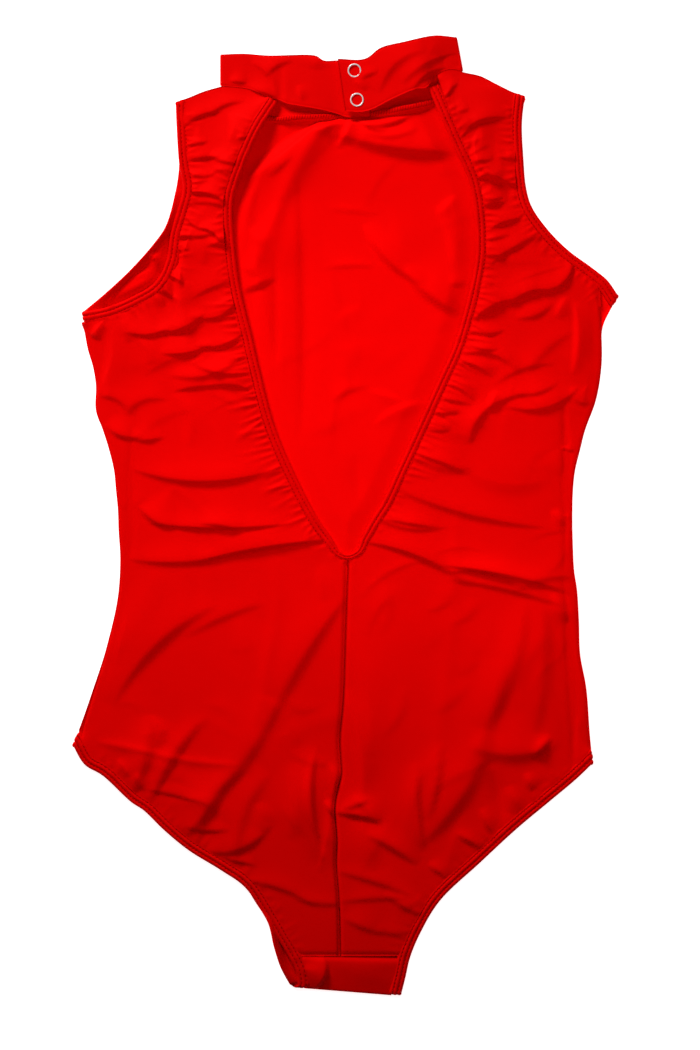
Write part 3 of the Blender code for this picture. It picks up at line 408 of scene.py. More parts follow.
def cloth_material(name, red, tone, wales=900.0, courses=700.0, bump=0.25, by_uv=False):
    """Matt dyed cloth: the knit group drives its colour, roughness and bump, and its sheen has its red."""
    material = bpy.data.materials.new(name)
    material.use_nodes = True
    nodes, links = material.node_tree.nodes, material.node_tree.links
    shader = nodes["Principled BSDF"]
    place, knit = nodes.new("ShaderNodeTexCoord"), nodes.new("ShaderNodeGroup")
    knit.node_tree = KNIT
    knit.inputs["Wales"].default_value, knit.inputs["Courses"].default_value = wales, courses
    links.new(place.outputs["UV" if by_uv else "Object"], knit.inputs["Place"])
    shade = nodes.new("ShaderNodeMix")
    shade.data_type = "RGBA"
    shade.inputs["A"].default_value = [c * (1 - tone) for c in red[:3]] + [1]
    shade.inputs["B"].default_value = [min(1, c * (1 + tone)) for c in red[:3]] + [1]
    spread = nodes.new("ShaderNodeMapRange")
    spread.inputs["From Min"].default_value, spread.inputs["From Max"].default_value = 0.35, 0.65
    links.new(knit.outputs["Tone"], spread.inputs["Value"])
    links.new(spread.outputs["Result"], shade.inputs["Factor"])
    links.new(shade.outputs["Result"], shader.inputs["Base Color"])
    rough = nodes.new("ShaderNodeMapRange")
    rough.inputs["To Min"].default_value, rough.inputs["To Max"].default_value = 0.52, 0.68
    links.new(knit.outputs["Mottle"], rough.inputs["Value"])
    links.new(rough.outputs["Result"], shader.inputs["Roughness"])
    raised = nodes.new("ShaderNodeBump")
    raised.inputs["Strength"].default_value = bump
    raised.inputs["Distance"].default_value = 0.0002
    links.new(knit.outputs["Height"], raised.inputs["Height"])
    links.new(raised.outputs["Normal"], shader.inputs["Normal"])
    shader.inputs["Specular IOR Level"].default_value = 0.06
    shader.inputs["Specular Tint"].default_value = (1, 0.005, 0.005, 1)
    shader.inputs["Sheen Weight"].default_value = 0.08
    shader.inputs["Sheen Roughness"].default_value = 0.5
    shader.inputs["Sheen Tint"].default_value = (1, 0.002, 0.002, 1)
    return material


KNIT = knit_group()
jersey = cloth_material("red_jersey", JERSEY_RED, 0.04)
jersey_inside = cloth_material("red_jersey_inside", JERSEY_INSIDE_RED, 0.03)


def front_height(points):
    """The front's underside: its slack and loft times how freely it shows, or the neck's roll where higher.

    It shows in the keyhole up to the neck line, apart from the pocket, and in a crescent at the left armhole.
    """
    x, y = points.T
    _, into_keyhole, _ = from_curve(points, smooth(KEYHOLE))
    _, into_panel, share = from_curve(points, smooth(ARMHOLE_LEFT_BACK))
    _, from_pocket, _ = from_curve(points, POCKET_LINE)
    _, from_neck, _ = from_curve(points, smooth(FRONT_NECK))
    keyhole = np.clip(0.15 + into_keyhole / RISE_FROM_KEYHOLE, 0, 1)
    keyhole *= (y > KEYHOLE_SPAN[0]) * (y < KEYHOLE_SPAN[1])
    crescent = np.clip(-into_panel / RISE_FROM_ARMHOLE, 0, 1)
    crescent *= np.clip((CRESCENT_WIDTH + into_panel) / CRESCENT_FADE, 0, 1)
    crescent *= (share > 0.45) * (share < 1) * (x < -100)
    pocket = np.clip(-from_pocket / RISE_FROM_POCKET, 0, 1) * (into_keyhole > 0) * (x < -10)
    free = (1 - pocket) * np.clip(-from_neck / RISE_FROM_NECK, 0, 1)
    slack = creased(points, CREASES_IN_FRONT) + rippled(points, 4, 34, (-80, 70, 0, 280), 0.35, 0.9)
    roll = neck_rise(x) * np.clip(1 - abs(from_neck) / NECK_ROLL, 0, 1) ** 1.5
    return REST + np.maximum((slack + FRONT_LOFT) * ((keyhole + crescent) * free), roll)


front_columns = denser_at_ends(141, -0.35)
front_rows = np.concatenate([np.linspace(0, 0.565, 185)[:-1], np.linspace(0.565, 1, 60)])
front_top = np.vstack([smooth(SHOULDER_LEFT)[::-1], smooth(FRONT_NECK), smooth(SHOULDER_RIGHT)])
front_left = side_edge(
    1, inside_hem(ARMHOLE_LEFT_FRONT, ARMHOLE_CURL), smooth(SIDE_LEFT), inside_hem(LEG_LEFT_FRONT, LEG_CURL),
)
front_right = side_edge(
    -1, beside(smooth(ARMHOLE_RIGHT), TUCKED - HEM_WIDTH), smooth(SIDE_RIGHT),
    beside(smooth(LEG_RIGHT), TUCKED - HEM_WIDTH),
)
front_bottom = level_edge(front_left, front_right, GUSSET_FRONT_SEAM_Y)
front_plan = patch(front_left, front_right, front_top, front_bottom, front_rows, front_columns)
front_low = front_height(front_plan.reshape(-1, 2)).reshape(front_plan.shape[:2])
front_cloth = cloth_panel("front_cloth", front_plan, front_low, jersey_inside)
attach(front_cloth, "root")
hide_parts("front_panel")

# Back panels
# Two halves of the same jersey, each a strap, keyhole side, hip and seat in one. They are sewn to the front
# at the shoulders and sides and to each other below the keyhole, and the stretched hems gather their edges.

ON_FRONT = 1.5
ON_HEM = 2.3
CLEARANCE = 0.4
ON_NECK = 0.1
AIR_BETWEEN = 3.4
SETTLE_REACH = 22.0
END_REACH = 8.0

# The cloth is held flat at its outer edge. Below the armhole it rolls down to the surface along its side.
# It dips into the centre seam and the crotch piece's seam, the right half less than the left.
SLACK_FROM_EDGE = 9.0
SIDE_ROLL = 3.2
SIDE_ROLL_TOP = 150
SIDE_FOOT = 0.2
DEEPEST = 0.3
SEAM_DIP = 2.2
SEAM_DIP_WIDTH = 1.7
SEAM_TOP = -33
RIGHT_DIPS = 0.3
SEAM_HALF_GAP = 0.45
GUSSET_SEAM_Y = -316.2
GUSSET_DIP = 1.0
GUSSET_DIP_WIDTH = 2.0

BACK_SIDE_LEFT = SIDE_LEFT[:-3] + [(-181, -126), (-187.5, -147), (-190.5, -160), (-191, -172)]
BACK_SIDE_RIGHT = [(179, 178), (181.5, 172), (183.5, 155), (184, 140)] + SIDE_RIGHT[3:]
CENTRE_BACK = [
    (2, -31.5), (0, -89), (-1.5, -132), (-4, -161), (-3, -185.5), (-5.5, -196.5), (-7.5, -208.5),
    (-6, -234.5), (-6.5, -249), (-4.5, -276.5), (-3.5, -316),
]
GUSSET_BACK_SEAM = [(-60, -316), (-23, -315), (15, -316), (60, -317)]
COLLAR_LEFT_LOW = [
    (17.5, 286.5, 2.7), (1, 287, 2.7), (-5.5, 289, 3.2), (-17.5, 292, 4.6), (-32.5, 294.5, 5.2),
    (-42.5, 296.5, 4.6), (-47.5, 299, 2.3), (-57, 301.5, 2.1), (-68.5, 307, 1.9), (-88.5, 309.5, 1.7),
]
COLLAR_RIGHT_LOW = [
    (0, 290.5, 7.2), (11, 290, 7.2), (18.5, 291.5, 7.6), (33.5, 299, 8.4), (51, 306.5, 7.6),
    (58, 307.5, 6.6), (63.5, 315, 3.2), (70, 320, 2.6), (77.5, 321.5, 2.1), (83.5, 320, 1.7),
]
KEYHOLE_POINT = (2, -27.5)
POINT_HEM_WIDTH = 4.4
POINT_REACH = 14.0

CREASES_ON_LEFT = [
    (-115, 282, -92, 291, 2, 5, 2.2, 1.2), (-96, 290, -76, 298, 2, 5, 2.2, 1.0),
    (-112, 267, -100, 269, 0, 3, 1.8, 0.8), (-105, 280, -100, 258, -3, 3, 3, 0.7),
    (-82, 287, -82, 271, 2, 4, 3, 0.7), (-77, 271, -71, 272, 0, 2.5, 1.8, 0.7),
    (-112, 256, -93, 258, 1, 4, 2, 1.3), (-95, 258, -77, 253, -1, 4, 2, 1.3),
    (-113, 247, -95, 246, -2, 3.5, 2, 0.9), (-93, 248, -79, 245, 2, 3, 2, 0.8),
    (-112, 240, -100, 241, 0, 3, 1.8, 0.7), (-112, 233, -89, 228, 2, 5, 2, 1.8),
    (-89, 228, -81, 223, -1, 4, 2, 1.3), (-112, 225, -86, 222, 2, 4, 2, 0.8),
    (-115, 217, -101, 206, -2, 4, 2, 1.4), (-102, 207, -89, 197, 2, 4.5, 2, 1.7),
    (-118, 202, -96, 203, -1, 3, 2, 1.1), (-92, 197, -79, 199, 1, 3.5, 1.8, 1.3),
    (-97, 195, -79, 189, 3, 3.5, 2, 1.1), (-112, 200, -115, 134, -5, 7, 3.5, 1.8),
    (-107, 199, -102, 183, 2, 3, 3, 0.9), (-89, 194, -77, 194, 0, 3, 2, 0.9),
    (-122, 200, -112, 202, 0, 3, 2, 0.9), (-123, 192, -113, 192, 0, 3, 2, 0.9),
    (-154, 132, -129, 134, -2, 6, 2.6, 1.7), (-131, 133, -105, 143, -3, 7, 2.6, 2.1),
    (-106, 143, -77, 158, -6, 6, 2.8, 1.5), (-128, 117, -100, 122, -2, 8, 2, 1.6),
    (-102, 122, -76, 130, -3, 6, 1.8, 1.9), (-107, 159, -79, 169, 2, 6, 3, 1.0),
    (-141, 105, -105, 118, 3, 8, 5, 0.9), (-119, 101, -77, 114, -5, 6, 4, 1.5),
    (-105, 108, -71, 104, -3, 6, 2.5, 1.4), (-120, 91, -96, 94, 1, 8, 2.4, 1.3),
    (-97, 94, -70, 92, 2, 7, 2.2, 1.7), (-174, 140, -182, 130, 0, 3, 2, 1.1),
    (-185, 133, -177, 128, 0, 3, 2, 1.0), (-169, 140, -177, 89, 6, 8, 5, 1.5),
    (-161, 143, -156, 127, 0, 4, 3, 1.1), (-148, 127, -141, 112, 2, 4, 3, 0.8),
    (-178, 87, -155, 76, 4, 5, 3, 0.9), (-156, 76, -133, 85, 4, 6, 4, 0.9),
    (-119, 84, -112, 55, 4, 5, 4, 0.8), (-141, 31, -56, 33, -6, 9, 4, 2.0),
    (-130, -6, -50, -6, -2, 7, 2.2, 1.7), (-18, -17, -98, -30, -2, 3, 9, 2.3),
    (-92, -29, -148, -31, 2, 4, 7, 1.4), (-50, -29, -57, -109, 4, 3, 3, 0.4),
    (-107, -230, -76, -183, 6, 8, 6, 1.3), (-80, -244, -60, -190, 5, 8, 6, 1.2),
    (-24, -178, -18, -230, -5, 6, 4, 1.1), (-12, -204, -17, -249, 3, 5, 4, 0.8),
    (-33, -275, -4, -278, -1, 4, 3, 0.6), (-124, 192, -123, 160, 0, 6, 5, -1.6),
    (-131, 182, -124, 172, 0, 2, 2, 1.2), (-128, 173, -118, 168, 1, 3, 2, 1.2),
    (-137, 170, -126, 160, 1, 3, 2, 1.3), (-122, 180, -117, 166, 0, 2, 3, 1.2),
    (-142, 163, -124, 157, 2, 4, 2, 1.3), (-134, 163, -130, 152, 0, 2, 3, 1.0),
    (-171, 64, -150, 57, -2, 6, 2.6, 1.3), (-151, 56, -133, 57, -1, 6, 3, 1.2),
    (-146, 5, -126, -7, -2, 8, 2.4, 1.5), (-100, -5, -78, -9, 1, 7, 2.2, 1.2),
    (-104, -68, -162, -124, -6, 6, 12, 1.9), (-140, -48, -166, -96, 4, 8, 8, 1.0),
    (-110, -83, -66, -64, 2, 7, 4, 0.9), (-55, -83, -64, -148, 2, 3, 3, 0.5),
    (-154, 54, -154, -24, 0, 1.8, 1.8, -1.0), (-6, -64, -53, -141, -3, 7, 12, 1.9),
    (-53, -141, -88, -192, 2, 6, 13, 1.8), (-88, -192, -114, -226, 2, 5, 10, 1.3),
    (-106, -150, -138, -200, -3, 3.4, 6, 1.7), (-136, -146, -133, -164, 3, 2.4, 4, 1.1),
    (-141, -150, -153, -194, 3, 6, 7, 2.0), (-174, -163, -142, -169, 0, 2, 2, 0.7),
    (-142, -169, -84, -178, -2, 2, 2, 0.7), (-138, -197, -100, -206, 1, 6, 2, 0.8),
    (-111, -224, -86, -225, -1, 5, 2, 0.7), (-93, -241, -58, -226, -4, 8, 4, 1.4),
    (-84, -246, -66, -250, 0, 4, 2, 0.7), (-23, -176, -19, -238, -4, 3, 8, 2.0),
    (-36, -184, -38, -226, 2, 5, 5, 1.0), (-11, -180, -6, -198, 1, 3, 2.5, 1.4),
    (-14, -206, -7, -216, 0, 3, 2, 1.1), (-70, -262, -27, -276, 3, 5, 3, 0.8),
    (-62, -208, -58, -224, 0, 4, 4, 0.8), (-162, -176, -156, -186, 0, 2, 2, 0.8),
    (-150, -186, -145, -196, 0, 2, 2, 0.8),
]
CREASES_ON_RIGHT = [
    (85, 278, 114, 287, 3, 7, 3, 1.7), (73, 303, 80, 311, 1, 3, 2.2, 0.9), (81, 291, 88, 292, 0, 3, 2, 0.8),
    (93, 285, 98, 267, 3, 5, 4, 0.8), (94, 271, 107, 244, -6, 6, 3, 1.5), (97, 268, 109, 245, 8, 3, 3, 0.6),
    (111, 258, 127, 257, 0, 3, 2, 1.1), (90, 255, 104, 256, 0, 3, 2, 0.9), (93, 242, 109, 240, 3, 3, 2, 1.3),
    (100, 245, 127, 235, 2, 5, 2.4, 1.6), (97, 231, 111, 229, -2, 3, 2, 1.2),
    (97, 224, 114, 226, 0, 4, 2, 1.0), (106, 208, 124, 214, 1, 5, 2.2, 1.6),
    (101, 199, 116, 202, 0, 3, 2, 0.8), (120, 193, 143, 202, 2, 6, 3, 0.9), (97, 189, 114, 187, 0, 4, 2, 0.9),
    (106, 183, 127, 195, 2, 6, 2.6, 1.2), (163, 180, 144, 162, 4, 2.6, 6, 2.0),
    (145, 163, 120, 154, -3, 2.6, 7, 2.5), (121, 156, 96, 146, -2, 3, 8, 1.7),
    (146, 151, 126, 143, 2, 3, 5, 1.1), (166, 148, 165, 108, 2, 5, 3, 1.7),
    (176, 163, 182, 147, 2, 4, 3, 1.0), (158, 156, 152, 144, 0, 4, 3, 1.0), (94, 143, 111, 147, 2, 5, 2, 1.4),
    (90, 134, 111, 133, -2, 4, 2, 1.2), (90, 123, 107, 120, -1, 4, 2, 1.2),
    (90, 118, 120, 108, 4, 6, 2.6, 1.6), (84, 111, 103, 102, 2, 4, 2, 1.5),
    (133, 107, 159, 131, 3, 6, 5, 0.8), (146, 110, 111, 98, -3, 3, 6, 0.9),
    (126, 88, 150, 95, -2, 6, 2.6, 1.0), (104, 78, 127, 88, 2, 6, 2.6, 1.2), (107, 89, 104, 78, 0, 4, 2, 1.4),
    (105, 79, 90, 56, -3, 2, 5, 1.9), (123, 78, 163, 89, -5, 7, 3, 1.6), (163, 90, 176, 82, -3, 5, 3, 1.1),
    (74, 95, 90, 85, 2, 4, 2, 1.4), (68, 84, 88, 81, 1, 4, 2, 1.2), (62, 74, 80, 75, 0, 3, 2, 1.0),
    (60, 62, 74, 62, 0, 3, 2, 0.9), (51, 44, 84, 35, -3, 8, 5, 1.1), (90, 33, 140, 26, -5, 12, 9, 1.0),
    (25, -2, 67, -8, -3, 6, 3, 1.0), (21, -19, 83, -45, 4, 8, 3, 1.9), (81, -39, 127, -50, 4, 6, 2.6, 1.5),
    (126, -50, 169, -44, 4, 7, 4, 0.9), (80, 4, 80, -60, 0, 3, 3, 0.4), (79, -60, 67, -168, 0, 3, 3, 0.4),
    (5, -89, 19, -161, 6, 12, 9, 1.0), (8, -204, 22, -219, 2, 5, 4, 0.9), (0, -209, 15, -204, 0, 4, 3, 0.9),
    (126, -132, 140, -89, 6, 10, 8, 0.8), (1, -276, 39, -274, 1, 4, 3, 0.6),
    (80, -36, 152, -52, 2, 6, 2.2, 1.9), (82, -46, 150, -62, 2, 5, 2.6, 1.2),
    (52, 45, 85, 32, 1, 6, 2.2, 1.4), (42, 18, 132, -6, -3, 9, 4, 1.6), (32, -2, 62, -7, 0, 5, 2.4, 1.2),
    (127, -72, 104, -142, 3, 8, 11, 1.8), (141, -70, 135, -150, 2, 9, 12, 1.9),
    (112, -112, 93, -170, 2, 7, 11, 1.4), (100, -166, 60, -228, 3, 9, 13, 2.2),
    (146, -165, 97, -166, 4, 8, 10, 1.9), (146, -160, 137, -172, 0, 2.2, 3, 1.8),
    (68, -169, 61, -212, 1, 3, 6, 1.3), (52, -184, 55, -233, -2, 3, 6, 1.5),
    (3, -134, 14, -191, 3, 7, 6, 1.7), (-4, -213, 22, -218, 1, 5, 2.5, 1.6),
    (20, -230, 48, -247, 1, 6, 3.6, 1.4), (10, -221, 19, -250, 2, 5, 5, 1.0),
    (0, -256, 44, -270, 1, 6, 3.4, 0.9), (31, -273, 53, -286, 0, 5, 3, 0.8),
    (2, -290, 25, -299, 0, 6, 3.4, 0.8), (25, -298, 44, -300, 0, 5, 3, 0.6),
    (106, -187, 114, -216, 0, 3, 3, -1.2), (82, -229, 97, -238, 0, 4, 2, 1.1),
    (61, -251, 72, -259, 0, 4, 2, 0.9), (118, -196, 124, -210, 0, 3, 3, 0.9),
    (130, -186, 134, -196, 0, 3, 2.4, 0.9), (98, -212, 104, -226, 0, 3, 2.4, 0.9),
    (157, 76, 158, -28, 2, 1.8, 1.8, -1.1), (158, -56, 164, -172, 2, 1.8, 1.8, -1.1),
    (150, 3, 158, -6, 0, 2, 2, 1.0), (150, -58, 159, -74, 0, 2.4, 2.4, 1.2),
    (156, 49, 164, 47, 0, 2, 1.6, 0.9), (158, 0, 166, -2, 0, 2, 1.6, 0.9),
]

# Gathers along an edge. Columns: first and last distance along it, mean spacing, reach, height.
GATHERS_KEYHOLE = [
    (18, 150, 4.8, 9, 0.8), (150, 330, 4.5, 15, 1.1), (330, 372, 6.0, 8, 0.5),
    (395, 440, 6.0, 8, 0.5), (440, 590, 4.5, 15, 1.1), (590, 725, 4.8, 10, 0.9),
]
GATHERS_ARMHOLE_LEFT = [(6, 100, 4.5, 8, 0.8), (100, 190, 6.0, 12, 0.9)]
GATHERS_ARMHOLE_RIGHT = [(6, 110, 4.5, 8, 0.8), (110, 185, 6.5, 10, 0.7)]
GATHERS_LEG = [(12, 250, 6.0, 8, 0.4)]


def settled(points, edges):
    """Heights that meet each edge's own, with still air between: a weighted mean of theirs and the air's.

    An edge weighs 1 / (distance^2 + 0.05), over 1 + (distance past its end / END_REACH)^2 where it has ended.
    """
    weights = np.full(len(points), 1 / SETTLE_REACH ** 2)
    total = weights * AIR_BETWEEN
    for curve, lift in edges:
        along, left, share = from_curve(points, curve)
        half = distances(curve[:, :2])[-1] / 2
        beyond = np.clip(abs(along - half) - half, 0, None) / END_REACH
        weight = 1 / (left ** 2 + 0.05) / (1 + beyond ** 2)
        own = 0
        if curve.shape[1] > 2:
            own = np.interp(share, np.linspace(0, 1, len(curve)), curve[:, 2])
        total += weight * (own + lift)
        weights += weight
    return total / weights


def gathered(points, curve, inner, rows, seed):
    """Height of the gathers beside a hem: ridges that leave it square on, uneven in spacing, reach and lean.

    Each is exp(-(along / width)^2) across and 0.6 of that width on its far side. It has 0.6 of its height at
    the hem and all of it 1.6 mm away, and is gone at its reach.
    """
    random = np.random.default_rng(seed)
    along, left, _ = from_curve(points, curve)
    gap = left * inner
    height = np.zeros(len(points))
    for first, last, spacing, reach, high in rows:
        steps = random.uniform(0.6, 1.45, round((last - first) / spacing)) * spacing
        for place in first + np.cumsum(steps):
            far = reach * random.uniform(0.45, 1.7)
            wide, lean = random.uniform(1.1, 1.9), random.normal(0, 0.15)
            here = high * random.uniform(0.5, 1.3)
            off = along - place - lean * gap
            near = (abs(off) < 8) & (gap > -3) & (gap < far)
            out = np.clip(gap[near] / far, 0, 1)
            profile = np.exp(-((off[near] / np.where(off[near] > 0, wide, wide * 0.6) / (1 + out)) ** 2))
            held = np.clip(0.6 + gap[near] / 4, 0, 1)
            height[near] += here * profile * held * (1 - out)
    return height


def keyhole_hem():
    """The keyhole's inner edge and the outer edge of its hem, which narrows at the point."""
    inner = smooth(KEYHOLE, 1.4)
    gap = np.linalg.norm(inner[:, :2] - KEYHOLE_POINT, axis=1)
    width = HEM_WIDTH - (HEM_WIDTH - POINT_HEM_WIDTH) * np.exp(-((gap / POINT_REACH) ** 2))
    return inner, inner + (beside(inner, -1) - inner) * width[:, None]


BACK_ROWS = np.concatenate([np.linspace(0, 0.56, 405)[:-1], np.linspace(0.56, 1, 195)])
hem_inner, hem_outer = keyhole_hem()
hem_seam = beside(hem_outer, TUCKED)
lowest = hem_seam[:, 1].argmin()
# Columns: side, armhole, side seam, leg, shoulder, neck, keyhole seam, creases, armhole gathers, seed.
BACKS = {
    "left": (
        1, ARMHOLE_LEFT_BACK, BACK_SIDE_LEFT, LEG_LEFT_BACK, SHOULDER_LEFT, COLLAR_LEFT_LOW,
        hem_seam[:lowest + 1], CREASES_ON_LEFT, GATHERS_ARMHOLE_LEFT, 11,
    ),
    "right": (
        -1, ARMHOLE_RIGHT, BACK_SIDE_RIGHT, LEG_RIGHT, SHOULDER_RIGHT, COLLAR_RIGHT_LOW,
        hem_seam[lowest:][::-1], CREASES_ON_RIGHT, GATHERS_ARMHOLE_RIGHT, 23,
    ),
}


def back_height(points, side, armhole, side_seam, leg, neck, creases, armhole_gathers, seed):
    """A back panel's underside: settled on its edges, with gathers, creases and slack, rolled at the side."""
    low = settled(points, [
        (hem_outer, CLEARANCE), (armhole, ON_HEM + CLEARANCE), (leg, ON_HEM + CLEARANCE),
        (side_seam, ON_FRONT), (neck, ON_NECK), (resampled(GUSSET_BACK_SEAM, 2.0), ON_HEM + CLEARANCE),
    ])
    _, from_side, _ = from_curve(points, side_seam)
    _, from_centre, _ = from_curve(points, smooth(CENTRE_BACK))
    inward = from_side * side
    slack = creased(points, creases) + gathered(points, hem_outer, -1, GATHERS_KEYHOLE, seed)
    slack += gathered(points, armhole, side, armhole_gathers, seed + 1)
    slack += gathered(points, leg, side, GATHERS_LEG, seed + 2)
    x0, x1 = sorted((side * -170, side * -10))
    slack += rippled(points, seed + 3, 46, (x0, x1, 60, 280), 0.4)
    slack += rippled(points, seed + 4, 40, (x0, x1, -300, 60), 0.45, side * -0.9)
    low = low + slack * np.clip(inward / SLACK_FROM_EDGE, 0, 1)
    seam_dip = SEAM_DIP if side > 0 else SEAM_DIP * RIGHT_DIPS
    low -= seam_dip * np.exp(-((from_centre / SEAM_DIP_WIDTH) ** 2)) * (points[:, 1] < SEAM_TOP)
    low -= GUSSET_DIP * np.exp(-(((points[:, 1] - GUSSET_SEAM_Y) / GUSSET_DIP_WIDTH) ** 2))
    low = np.maximum(low, ON_FRONT - DEEPEST)
    roll = np.sqrt(1 - np.clip(1 - inward / SIDE_ROLL, 0, 1) ** 2)
    return np.where(points[:, 1] < SIDE_ROLL_TOP, SIDE_FOOT + (low - SIDE_FOOT) * roll, low)


for where, row in BACKS.items():
    side, armhole_rows, side_rows, leg_rows, shoulder_rows, neck_rows, keyhole, creases, gathers, seed = row
    armhole = beside(smooth(armhole_rows), side * HEM_WIDTH)
    leg = beside(smooth(leg_rows), side * HEM_WIDTH)
    side_seam = smooth(side_rows)
    neck = smooth(neck_rows)
    neck = neck[neck[:, 0] * side < hem_seam[0 if side > 0 else -1, 0] * side]
    outer = side_edge(side, beside(armhole, -side * TUCKED), side_seam, beside(leg, -side * TUCKED))
    inner = side_edge(-side, keyhole, beside(smooth(CENTRE_BACK), -side * SEAM_HALF_GAP))
    top = np.vstack([smooth(shoulder_rows)[::-1], neck[::-1, :2]])
    bottom = level_edge(outer, inner, (GUSSET_SEAM_Y, GUSSET_SEAM_Y))
    columns = denser_at_ends(80, 0.45)
    plan = patch(outer, inner, top, bottom, BACK_ROWS, columns)
    points = plan.reshape(-1, 2)
    low = back_height(points, side, armhole, side_seam, leg, neck, creases, gathers, seed)
    back = cloth_panel("back_cloth_" + where, plan, low.reshape(plan.shape[:2]), jersey)
    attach(back, "root")
    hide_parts("back_panel_" + where)

# Hems
# The keyhole, armholes and legs are finished alike: the jersey is turned in over clear elastic and held by
# a twin needle, which leaves two rows of stitches about 3 and 6.5 mm from the edge and puckers the cloth.

EDGING_RED = (0.80, 0.0003, 0.0003, 1)
# The thread matches the jersey's red. This darker red is painted shade for the stitch holes and grooves it
# sinks into.
THREAD_RED_PAINTED_SHADE = (0.62, 0.0003, 0.0003, 1)
SECTION_STEP = 1.3
FINE_STEP = 0.5
FOLD_ROOM = 2.0
HEM_MIDDLE = [0, 0, 1.0]
LOWEST_HEM = 0.02
PUCKER_STEP = 4.5
PUCKER_HEIGHT = 0.13
STITCH_RISE = 0.12
STITCH_PITCH = 2.8
STITCH_LENGTH = 2.1
STITCH_ROWS = (3.0, 6.4)
STITCH_HALF_WIDTH = 0.28
STITCH_HALF_HEIGHT = 0.2
LAYER_GAP = 2.15
TURN_RADIUS = 1.15

# Section of a hem, from its panel side round over the outside to the edge and back inside.
# Columns: distance from the edge, height above its middle.
HEM_SECTION = [
    (8.9, -0.55), (8.2, 0.05), (7.5, 0.55), (7.0, 0.75), (6.8, 0.6), (6.4, 0.25), (6.0, 0.66), (5.6, 0.95),
    (4.7, 1.08), (3.8, 0.98), (3.4, 0.66), (3.0, 0.27), (2.6, 0.68), (2.2, 0.95), (1.5, 1.0), (0.8, 0.85),
    (0.25, 0.45), (0.0, 0.0), (0.25, -0.45), (0.8, -0.8), (2.2, -0.9), (5.0, -0.9), (8.0, -0.9),
]

edging = cloth_material("red_turned_hem", EDGING_RED, 0.05, 1100.0, 500.0, 0.35, by_uv=True)
# The thread material carries that painted shade, on the hem stitches and on the neck seam's loops alike.
thread = cloth_material("red_thread_painted_shade", THREAD_RED_PAINTED_SHADE, 0.1, 2600.0, 2600.0, 0.5)


def mitred(edge, inner, direction):
    """The hem's inner edge with its first point on the line that leaves the outer edge's first point."""
    direction = np.array(direction, float) / math.hypot(*direction)
    travel, gap = inner[0, :2] - inner[1, :2], edge[0, :2] - inner[0, :2]
    turn = travel[0] * direction[1] - travel[1] * direction[0]
    share = (gap[0] * direction[1] - gap[1] * direction[0]) / turn
    ended = inner.copy()
    ended[0, :2] += travel * share
    return ended


def hem_halves(rows, side, start, end):
    """One lying half of a ring: its edge and the line a hem's width in, ended along the fold at each end."""
    edge = smooth(rows, FINE_STEP)
    skip = round(FOLD_ROOM / FINE_STEP)
    edge = resampled(edge[skip:-skip], SECTION_STEP)
    inner = mitred(edge, beside(edge, side * HEM_WIDTH), start)
    inner = mitred(edge[::-1], inner[::-1], end)[::-1]
    return edge, inner


def sweep(name, edge, inner, normal, closed, seed):
    """A hem: HEM_SECTION carried along an edge, across towards inner and up along normal, uneven as sewn.

    Its outside swells by STITCH_RISE sin^2 once a stitch, and in slow puckers of random height. An open hem
    is capped with a fan of triangles at each end.
    """
    section = np.array(HEM_SECTION)
    along = distances(edge)
    knots = np.arange(0, along[-1] + 5, PUCKER_STEP)
    pucker = np.interp(along, knots, np.random.default_rng(seed).normal(0, PUCKER_HEIGHT, len(knots)))
    wave = STITCH_RISE * np.sin(math.pi * along / STITCH_PITCH) ** 2
    outside = (section[:, 1] > 0) & (section[:, 0] > 1)
    height = section[:, 1] + outside * (pucker + wave)[:, None]
    across = (section[:, 0] / HEM_WIDTH)[None, :, None]
    points = edge[:, None] * (1 - across) + inner[:, None] * across + normal[:, None] * height[..., None]
    points[..., 2] = np.maximum(points[..., 2], LOWEST_HEM)
    points = points.reshape(-1, 3)
    uv = np.stack(np.broadcast_arrays(distances(section)[None], along[:, None]), axis=2)
    faces = grid_faces(len(edge), len(section), round_length=closed, round_width=True)
    if closed:
        return new_mesh(name, points, faces, edging, uv)
    triangles = [faces[:, [0, 1, 2]], faces[:, [0, 2, 3]]]
    for start in (0, len(points) - len(section)):
        ring = np.arange(len(section)) + start
        order = ring if start else ring[::-1]
        triangles.append(np.stack([order, np.roll(order, -1), np.full(len(ring), len(points))], axis=1))
        points = np.vstack([points, points[ring].mean(axis=0)])
    uv = np.vstack([uv.reshape(-1, 2), [(0, 0), (0, 0)]])
    return new_mesh(name, points, np.vstack(triangles), edging, uv)


def threads(name, centre, sideways, up, half_width, half_height):
    """Many short closed threads in one mesh: a diamond section carried along each row of centres."""
    ring = np.array([(-half_width, 0), (0, half_height), (half_width, 0), (0, -half_height)])
    bodies = centre[:, :, None] + sideways[:, :, None] * ring[:, 0, None] + up[:, :, None] * ring[:, 1, None]
    count, steps, _ = centre.shape
    last = (steps - 1) * 4
    ends = [(0, 1, 2, 3), (last + 3, last + 2, last + 1, last)]
    one = np.vstack([grid_faces(steps, 4, round_width=True), ends])
    faces = (one[None] + np.arange(count)[:, None, None] * steps * 4).reshape(-1, 4)
    return new_mesh(name, bodies, faces, thread)


